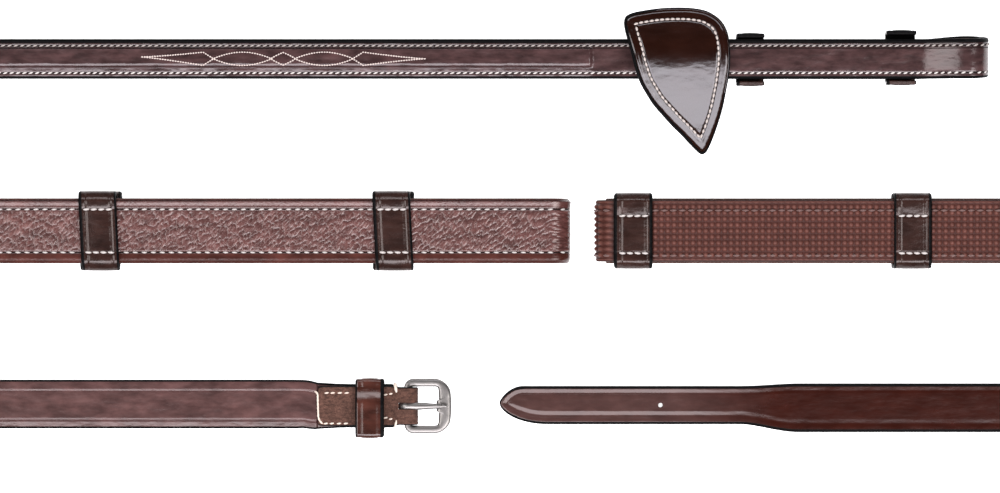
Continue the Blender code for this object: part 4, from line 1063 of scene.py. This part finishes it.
def martingale_stop(half):
    path, sign, row, body = PATHS[half], SIGNS[half], ROWS[half], f"martingale_stop_{half}"
    shield_plate(f"martingale_stop_backing_{half}", half, row, sign, 0.0, BACKING_PLY, [LINING, EDGE_PAINT_AND_SHADE],
                 lambda x, y, d: 0.0, "lining_leather", lambda x, y: 0.8 + 0 * x)
    face = BACKING_PLY + GAP
    shield_plate(f"martingale_stop_face_{half}", half, row, sign, face, FACE_PLY, [SHIELD_LEATHER, EDGE_PAINT_AND_SHADE],
                 shield_relief, "bridle_leather", shield_paint)
    line = u_line(BIT_WIDTH + GAP + 0.7, 8.2 - BIT_HEIGHT - 0.7, -BIT_HALF - GAP - 0.7)
    s_a, s_b = path.at_x("bit_row", sign * 49.0), path.at_x("bit_row", sign * 68.0)
    loop_band = belt(f"martingale_stop_loop_{half}", path, s_a, s_b, line, LOOP_PLY, [DARK, EDGE_PAINT_AND_SHADE])
    finish(loop_band, body, "lining_leather", f"martingale_stop_loop_{half}")

    loop = smooth_loop(SHIELD, 16)
    tangent = unit(np.roll(loop, -1, 0) - np.roll(loop, 1, 0))
    inward = np.stack([tangent[:, 1], -tangent[:, 0]], -1)
    line = loop + inward * STITCH_INSET
    line = line[distance_to(loop, line[:, 0], line[:, 1]) > STITCH_INSET - 0.03]
    line = np.concatenate([line, line[:1]])
    total = distances_along(line)[-1]
    marks = np.linspace(0, total, int(total / SHIELD_PITCH), endpoint=False)
    x, y = points_along(line, marks).T
    ahead_x, ahead_y = points_along(line, marks + 0.1).T
    z = roof(y) + face + FACE_PLY
    steep = (roof(y + 0.05) - roof(y - 0.05)) / 0.1
    normal = unit(np.stack([0 * x, -steep, 1 + 0 * x], -1))
    direction = unit(np.stack([sign * (ahead_x - x), ahead_y - y, (ahead_y - y) * steep], -1))
    centre = np.stack([sign * x, row + y, z], -1) - normal * 0.16
    stitches(f"martingale_stop_stitches_{half}", centre, direction, normal, 1.55, 0.35, 0.2, 0.02, body,
             SHIELD_THREAD, "bridle_leather")


# ---------------------------------------------------------------- buckle end

def buckle_strap():
    path = A
    s_end = path.middle("turn_1") - 0.5
    skive, full = path.start("skive"), path.start("strap")
    neck, wide = path.at_x("neck", -50.0), path.at_x("strap", -70.0)

    def relief(s, t):
        drop = 0.16 * step(t, -4.95, -4.6) + 0.10 * step(-t, 7.0, 7.8)
        crease = 0.10 * dent(t, -4.5, 0.4) + 0.26 * dent(t, 5.2, 0.45)
        slope = 0.165 * clamp(t - 5.5, 0.0, 2.0)
        return -(drop + crease + slope) * step(s, neck, neck + 6)

    def hairy(s, t):
        nearest, _ = worley(s * 0.8, t * 1.4, 0.8, 9)
        return 0.10 * nearest + 0.05 * dent(np.abs(t), 5.6, 0.5)

    twist = path.start("twist_1")
    stations = spread((0.0, wide, 0.35), (wide, twist, 0.55), (twist, s_end, 1.0))
    half_n = 0.9 + 0.7 * step(stations, skive, full)
    end = np.sqrt(clamp(1 - (1 - clamp(stations / 2.0)) ** 2 * 0.9, 0.05))
    fold_middle = path.middle("bar_fold")
    near = fold_middle - path.start("bar_fold") + 2.6
    swell = np.where(stations < fold_middle, 0.4, 1.0)
    width = 6.3 + swell * step(np.abs(stations - fold_middle), near, near + 3.0)
    width = width + 0.85 * step(stations, neck, wide)
    width = width * (0.9 + 0.1 * end)
    half_n = half_n * (0.45 + 0.55 * end)
    level = path.frame(np.array([full]))[0][0, 2] + 1.6
    turned_end = path.at_x("neck", -61.2)
    kept_level = (stations > turned_end) & (stations < full)
    face = np.where(kept_level, level - path.frame(stations)[0][:, 2], half_n)
    shape = outline((columns(61), columns(41)), 0.35, 0.4)
    strap = slab("buckle_strap", path, stations, width, -half_n, face, [BRIDLE_SINGLE, FLESH, EDGE_PAINT_AND_SHADE], shape,
                 top=relief, bottom=hairy, paint=(0.6, 0.7))
    cut_box(strap, (-33.9, NECK_ROW - 1.1, 0.2), (-26.0, NECK_ROW + 1.1, 12.0))
    finish(strap, "buckle_end_a", "bridle_leather", "buckle_strap")
    buckle_threads()


def cut_box(thing, low, high):
    corners = [(x, y, z) for x in (low[0], high[0]) for y in (low[1], high[1]) for z in (low[2], high[2])]
    quads = np.array([(0, 1, 3, 2), (4, 6, 7, 5), (0, 4, 5, 1), (2, 3, 7, 6), (0, 2, 6, 4), (1, 5, 7, 3)])
    cutter = build("cutter", np.array(corners, float), quads, np.zeros((8, 2)), 0, [])
    subtract(thing, cutter)


def cut_round(thing, centre, radius, low, high, sides=32):
    angle = np.linspace(0, 2 * np.pi, sides, endpoint=False)
    ring = np.stack([centre[0] + radius * np.cos(angle), centre[1] + radius * np.sin(angle)], -1)
    grid = np.array([np.column_stack([ring, np.full(sides, z)]) for z in (low, high)])
    cutter = tube("cutter", grid, np.zeros((2, sides, 2)), 0, [])
    subtract(thing, cutter)


def subtract(thing, cutter):
    """Cut a hole and keep only the result's mesh."""
    modifier = thing.modifiers.new("cut", "BOOLEAN")
    modifier.object = cutter
    modifier.solver = "EXACT"
    evaluated = thing.evaluated_get(bpy.context.evaluated_depsgraph_get())
    mesh = bpy.data.meshes.new_from_object(evaluated)
    thing.modifiers.clear()
    thing.data = mesh
    bpy.data.objects.remove(cutter)


def cord(name, points, radius, body, material, slot, twist, sides=10):
    """A round thread or wire along points in the layout."""
    points = np.array(points, float)
    total = distances_along(points)[-1]
    marks = np.linspace(0, total, max(8, int(total / (radius * 0.8))))
    line = smoothed(points_along(points, marks), 3)
    along = unit(np.gradient(line, axis=0))
    side = np.cross(along, (0.0, 0.0, 1.0))
    side /= np.maximum(np.linalg.norm(side, axis=1), 1e-6)[:, None]
    up = np.cross(side, along)
    phi = np.linspace(0, 2 * np.pi, sides, endpoint=False)[None, :]
    k = marks[:, None] / total
    taper = np.sqrt(clamp(1 - np.abs(2 * k - 1) ** 24, 0.05))
    r = radius * taper * (1 + 0.14 * np.cos(2 * phi - twist * marks[:, None]))
    grid = line[:, None] + side[:, None] * (r * np.cos(phi))[..., None]
    grid = grid + up[:, None] * (r * np.sin(phi))[..., None]
    uv = np.stack([marks[:, None] + 0 * phi, radius * phi + 0 * marks[:, None]], -1)
    return finish(tube(name, grid[::-1], uv[::-1], 0, [material]), body, slot)


def buckle_threads():
    """Hand stitching that holds the turned-back ply: two rows, a bar across its end, and wraps by the bar."""
    body, z = "buckle_end_a", TURNBACK_HEIGHT + 0.9
    edge = [(-62.0, -48.3, 4.9), (-61.2, -48.8, 5.2), (-60.9, -49.4, 5.45), (-60.9, -51.0, 5.4),
            (-60.8, -54.0, 5.4), (-60.7, -57.0, 5.4), (-60.2, -58.3, 5.6), (-59.2, -59.3, 5.8)]
    cord("buckle_end_thread", edge, 0.34, body, HAND, "bridle_leather", twist=5.0)
    row = np.array((-57.9, -55.9, -53.5, -51.2))
    late = np.array((-38.3, -36.4))
    spots = np.concatenate([np.column_stack([row, np.full(len(row), -48.9)]),
                            np.column_stack([row - 0.3, np.full(len(row), -59.1)]),
                            np.column_stack([late, (-49.5, -49.2)]), np.column_stack([late, (-57.2, -57.6)])])
    centre = np.column_stack([spots, np.full(len(spots), z - 0.05)])
    along = np.tile((0.99, 0.12, 0.0), (len(spots), 1))
    up = np.tile((0.0, 0.0, 1.0), (len(spots), 1))
    stitches("buckle_row_stitches", centre, along, up, 1.6, 0.28, 0.24, 0.02, body, HAND, "bridle_leather")
    for name, side, radius in (("top", 1, 0.50), ("bottom", -1, 0.36)):
        x, y = -34.9, NECK_ROW + side * 7.0
        loop = [(x + along, y + side * out, height)
                for along, out, height in ((0.5, -2.6, 6.6), (0.2, -1.4, 7.2), (-0.1, -0.1, 6.9),
                                           (-0.2, 0.45, 5.6), (-0.1, 0.4, 3.4), (0.0, -0.6, 1.75))]
        cord(f"buckle_wrap_{name}", loop, radius, body, HAND, "bridle_leather", twist=4.0)


def loose_keeper():
    path = A
    s0, s1 = path.at_x("neck", -38.7), path.at_x("neck", -48.3)
    bottom, top = -0.9 - GAP, TURNBACK_HEIGHT + 0.9 - 2.8 + GAP
    half, wall, shift = 9.65, 1.35, 0.7
    radius = 0.5
    left, right = shift - half + wall / 2 + radius, shift + half - wall / 2 - radius
    down, up = bottom - wall / 2 + radius, top + wall / 2 - radius
    line = rounded(((right, down, -90, radius), (right, up, 0, radius), (left, up, 90, radius),
                    (left, down, 180, radius)), 7, 0.5)
    crown = 2.0 * step(np.array([t for t, n in line]), -6.8, -0.2)
    line = [(t, n + lift * (n > 0)) for (t, n), lift in zip(line, crown)]
    keeper = belt("buckle_keeper", path, s0, s1, line, wall, [KEEPER_LEATHER, EDGE_PAINT_AND_SHADE], True, 0.6, 0.45, 1.0)
    finish(keeper, "buckle_keeper", "dark_leather", "buckle_keeper")


def buckle_frame():
    """A cast frame: its bar, arms and bowed toe have a rounded section between two outlines."""
    def corner_path(x0, x1, y0, y1, radius, far, bow):
        middle, reach = (y0 + y1) / 2, (y1 - y0) / 2
        corners = ((x1 - far, y1 - far, 0, far), (x0 + radius, y1 - radius, 90, radius),
                   (x0 + radius, y0 + radius, 180, radius), (x1 - far, y0 + far, 270, far))
        out = np.array(rounded(corners, 12, 0.8))
        share = clamp((out[:, 0] - (x0 + x1) / 2) / ((x1 - x0) / 2))
        out[:, 0] += bow * (1 - ((out[:, 1] - middle) / reach) ** 2) * share
        return out

    def at_angles(loop, centre, angles):
        """Where rays from the centre meet the loop."""
        theta = np.unwrap(np.arctan2(loop[:, 1] - centre[1], loop[:, 0] - centre[0]))
        order = np.argsort(theta % (2 * np.pi))
        theta, loop = theta[order] % (2 * np.pi), loop[order]
        theta = np.concatenate([theta - 2 * np.pi, theta, theta + 2 * np.pi])
        loop = np.concatenate([loop, loop, loop])
        return np.stack([np.interp(angles, theta, loop[:, i]) for i in range(2)], -1)

    outer = corner_path(BAR_AT - BAR / 2, FRAME_END - 0.9, NECK_ROW - FRAME_WIDTH, NECK_ROW + FRAME_WIDTH,
                        3.0, 4.8, 0.9)
    inner = corner_path(BAR_AT + BAR / 2, FRAME_END - 4.5, NECK_ROW - FRAME_WIDTH + 2.75,
                        NECK_ROW + FRAME_WIDTH - 2.75, 0.9, 0.9, 0.3)
    centre = ((BAR_AT + FRAME_END - 4.5) / 2 + 0.4, NECK_ROW)
    angles = np.linspace(0, 2 * np.pi, 200, endpoint=False)
    o, i = at_angles(outer, centre, angles), at_angles(inner, centre, angles)
    i[:, 0] -= 0.8 * (1 - step(np.abs(i[:, 1] - NECK_ROW), 1.7, 2.2)) * (i[:, 0] > centre[0])
    middle, across = (o + i) / 2, (o - i) / 2
    phi = np.linspace(0, 2 * np.pi, 24, endpoint=False)
    wide = np.sign(np.cos(phi)) * np.abs(np.cos(phi)) ** 0.62
    tall = np.sign(np.sin(phi)) * np.abs(np.sin(phi)) ** 0.8 * BAR / 2
    xy = middle[:, None] + across[:, None] * wide[None, :, None]
    grid = np.concatenate([xy, np.broadcast_to(BAR_HEIGHT + tall[None, :, None], xy.shape[:2] + (1,))], -1)
    run = distances_along(middle)
    uv = np.stack(np.broadcast_arrays(run[:, None], 1.3 * phi[None, :]), -1)
    frame_piece = tube("buckle_frame", grid[:, ::-1], uv[:, ::-1], 0, [STEEL], closed=True)
    finish(frame_piece, "buckle_frame", "steel", "buckle_frame")


def buckle_tongue():
    rest = BAR_HEIGHT + BAR / 2 + GAP + 0.7
    eye = [(BAR_AT + 2.4 * math.cos(a), BAR_HEIGHT + 2.4 * math.sin(a))
           for a in np.radians(np.linspace(-20, -270, 30))]
    shank = [(BAR_AT + 2.2, rest + 0.02), (BAR_AT + 4.5, rest), (BAR_AT + 9.0, rest), (-20.0, rest),
             (-19.2, rest - 0.05), (-18.3, rest - 0.05), (-17.4, rest)]
    line = np.array([(x, NECK_ROW, z) for x, z in eye + shank])
    run = distances_along(line)
    marks = np.linspace(0, run[-1], 110)
    line = smoothed(points_along(line, marks), 4)
    along = unit(np.gradient(line, axis=0))
    side = np.array((0.0, 1.0, 0.0))
    up = np.cross(along, side)
    phi = np.linspace(0, 2 * np.pi, 16, endpoint=False)[None, :]
    x = line[:, 0][:, None]
    root = 1 - step(marks[:, None], run[29] + 2.0, run[-1])
    wide = 0.72 + 0.55 * root
    seat = 1 + 0.22 * dent(x, -19.9, 0.45) * (marks[:, None] > run[30])
    end = np.sqrt(clamp(1 - (clamp((marks[:, None] - run[-1] + 1.0) / 1.0)) ** 2, 0.05))
    grid = (line[:, None] + side * (wide * end * seat * np.cos(phi))[..., None]
            + up[:, None] * (0.7 * end * seat * np.sin(phi))[..., None])
    uv = np.stack(np.broadcast_arrays(marks[:, None], phi), -1)
    tongue = tube("buckle_tongue", grid, uv, 0, [STEEL])
    finish(tongue, "buckle_tongue", "steel", "buckle_tongue")


# ---------------------------------------------------------------- tip end

TIP_ROUND = 16.0


def tip_strap():
    path = B
    s_end = path.middle("turn_1") - 0.5
    widen = path.at_x("tip", 80.0), path.start("strap")

    def side(s, apex, round_length, fullness):
        full = 6.4 + 1.75 * step(s, *widen)
        return apex + (full - apex) * clamp(1 - clamp(1 - s / round_length) ** 2) ** fullness

    def upper(s):
        return side(s, 0.9, 8.0, 0.77)

    def lower(s):
        return -side(s, -0.9, TIP_ROUND, 0.55)

    s_line = np.concatenate([TIP_ROUND * (1 - np.cos(np.linspace(0, np.pi / 2, 90))),
                             np.linspace(16.5, 40, 40)])
    edge = np.concatenate([np.column_stack([s_line, upper(s_line)]),
                           np.column_stack([s_line, lower(s_line)])[::-1]])

    def relief(s, t):
        d = np.minimum(upper(s) - t, t - lower(s))
        near = s < 30
        if near.any():
            d[near] = np.minimum(d[near], distance_to(edge, s[near], t[near]))
        high = np.interp(d, (0.5, 0.95, 2.35, 3.1, 4.2), (0.0, 0.12, -0.26, 0.0, 0.06))
        low = np.interp(d, (0.5, 1.0, 1.9, 2.8, 3.1, 4.4), (-0.08, 0.08, 0.02, -0.28, -0.30, 0.06))
        share = step(t, -1.5, 1.5)
        return (high * share + low * (1 - share)) * (1 - 0.7 * step(s, 45.0, 100.0))

    twist = path.start("twist_1")
    stations = np.concatenate([TIP_ROUND * (1 - np.cos(np.linspace(0.03, np.pi / 2, 60)))[:-1],
                               spread((TIP_ROUND, twist, 0.5), (twist, s_end, 1.0))])
    width, shift = (upper(stations) - lower(stations)) / 2, (upper(stations) + lower(stations)) / 2
    shape = outline((columns(61), columns(15)), 0.4, 0.5)
    strap = slab("tip_strap", path, stations, width, -1.6, 1.6, [TIP_LEATHER, FLESH, EDGE_PAINT_AND_SHADE], shape, top=relief,
                 paint=(0.95, 0.9), shift=shift)
    cut_round(strap, (53.7, TIP_ROW), 0.75, -1.0, 6.0)
    finish(strap, "tip_end_b", "bridle_leather", "tip_strap")


# ---------------------------------------------------------------- junctions

def junction(name, path, middle, half_a, half_b):
    """A thin leather sleeve over the ends of a grip and the strap beyond it.

    half_a and half_b are (half width, half thickness) of what it covers before and after the middle.
    """
    reach, skin = 8.0, 0.9
    k = np.linspace(-1, 1, 41)
    ends = np.sqrt(clamp(1 - np.abs(k) ** 14, 0.03))
    blend = step(k, -0.35, 0.35)
    wide = half_a[0] + (half_b[0] - half_a[0]) * blend + 0.15
    thick = half_a[1] + (half_b[1] - half_a[1]) * blend + 0.15
    ds = np.concatenate([k, k[::-1]]) * reach
    rise = np.concatenate([skin * ends, np.zeros(41)])[:, None]
    wide, thick = (np.concatenate([v, v[::-1]])[:, None] for v in (wide, thick))
    part, c, angle = band_section(25, 9)
    corner = 1.0
    t = c * (wide - corner) + np.where(part == 1, (corner + rise) * np.cos(angle), 0.0)
    n = np.where(part == 0, -thick - rise, thick + rise)
    n = np.where(part == 1, (thick - corner) * np.sign(np.sin(angle)) + (corner + rise) * np.sin(angle), n)
    grid = path.on(middle + ds[:, None] + 0 * t, t, n)
    uv = np.stack([middle + ds[:, None] + 0 * t, t], -1)
    painted = (np.abs(ds)[:, None] > reach - 0.9) & np.ones_like(t, bool)
    sleeve = tube(name, grid, uv, np.where(painted, 1, 0), [DARK, EDGE_PAINT_AND_SHADE], closed=True)
    ends_at = to_metres(path.frame(np.array((middle - reach, middle + reach)))[0])
    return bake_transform(sleeve)


for half in "ab":
    grip(half)
    bit_end(half)
    martingale_stop(half)
buckle_strap()
loose_keeper()
buckle_frame()
buckle_tongue()
tip_strap()

GRIP_SIZE = (LEATHER_WIDTH, GRIP_HALF + 0.35)
BIT_SIZE = (BIT_WIDTH, BIT_HALF + 0.95)
STRAP_SIZE = (8.15, 1.75)
junction("junction_buckle_a", A, A.middle("turn_1"), STRAP_SIZE, GRIP_SIZE)
junction("junction_bit_a", A, A.middle("turn_2"), GRIP_SIZE, BIT_SIZE)
junction("junction_tip_b", B, B.middle("turn_1"), STRAP_SIZE, GRIP_SIZE)
junction("junction_bit_b", B, B.middle("turn_2"), GRIP_SIZE, BIT_SIZE)

for half in "ab":
    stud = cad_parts[f"hook_stud_{half}"]
    stud.data.materials.clear()
    stud.data.materials.append(STEEL)
    bevel = stud.modifiers.new("soft_edges", "BEVEL")
    bevel.width = 0.0003
    bevel.segments = 3
    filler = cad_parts[f"panel_filler_{half}"]
    filler.data.materials.clear()
    filler.data.materials.append(LINING)


# ---------------------------------------------------------------- studio

def stage():
    bpy.ops.mesh.primitive_plane_add(size=30.0, location=(0.0, 0.0, cad_bounds[0].z - 0.0002))
    floor = bpy.context.object
    floor.name = "floor"
    paper = Shader("paper", 0.8)
    paper.colour((0.9, 0.9, 0.9))
    paper.bsdf.inputs["Emission Color"].default_value = (1.0, 1.0, 1.0, 1.0)
    rays = paper.node("ShaderNodeLightPath")
    glow = map_range(paper.tree, rays.outputs["Is Camera Ray"], 0.3, 1.0)
    paper.link(glow, paper.bsdf.inputs["Emission Strength"])
    paper.bsdf.inputs["Specular IOR Level"].default_value = 0.0
    floor.data.materials.append(paper.material)

    world = bpy.data.worlds.new("studio")
    world.use_nodes = True
    tree = world.node_tree
    sky = tree.nodes["Background"]
    sky.inputs["Color"].default_value = (0.97, 0.98, 1.0, 1.0)
    rays = tree.nodes.new("ShaderNodeLightPath")
    tree.links.new(map_range(tree, rays.outputs["Is Glossy Ray"], 0.6, 0.03), sky.inputs["Strength"])
    world.cycles.sampling_method = "NONE"
    bpy.context.scene.world = world

    def softbox(name, azimuth, zenith, distance, size, power, colour):
        """An area light seen from the object at this angle from straight up; azimuth 0 is -Y."""
        a, z = math.radians(azimuth), math.radians(zenith)
        towards = Vector((math.sin(a) * math.sin(z), -math.cos(a) * math.sin(z), math.cos(z)))
        light = bpy.data.lights.new(name, "AREA")
        light.shape = "RECTANGLE"
        light.size, light.size_y = size
        light.energy = power
        light.color = colour
        lamp = bpy.data.objects.new(name, light)
        lamp.location = towards * distance
        lamp.rotation_euler = towards.to_track_quat("Z", "Y").to_euler()
        bpy.context.scene.collection.objects.link(lamp)

    softbox("key", 0, 33, 2.2, (2.4, 1.0), 81, (0.97, 0.96, 1.0))
    softbox("fill", 180, 48, 2.2, (2.4, 0.45), 26, (0.96, 0.97, 1.0))
    softbox("side_left", 270, 38, 2.2, (0.9, 1.2), 25, (1.0, 0.98, 0.97))
    softbox("side_right", 62, 38, 2.2, (0.8, 1.3), 29, (1.0, 0.98, 0.97))

    data = bpy.data.cameras.new("camera")
    data.lens = 200.0
    data.sensor_width = 36.0
    data.clip_start, data.clip_end = 0.05, 60.0
    camera = bpy.data.objects.new("camera", data)
    camera.location = (-0.0196, -0.0368, 0.010 + 1000 / 3 * 0.001 * 200 / 36)
    bpy.context.scene.collection.objects.link(camera)
    bpy.context.scene.camera = camera
    bpy.context.scene.view_settings.view_transform = "Standard"


stage()
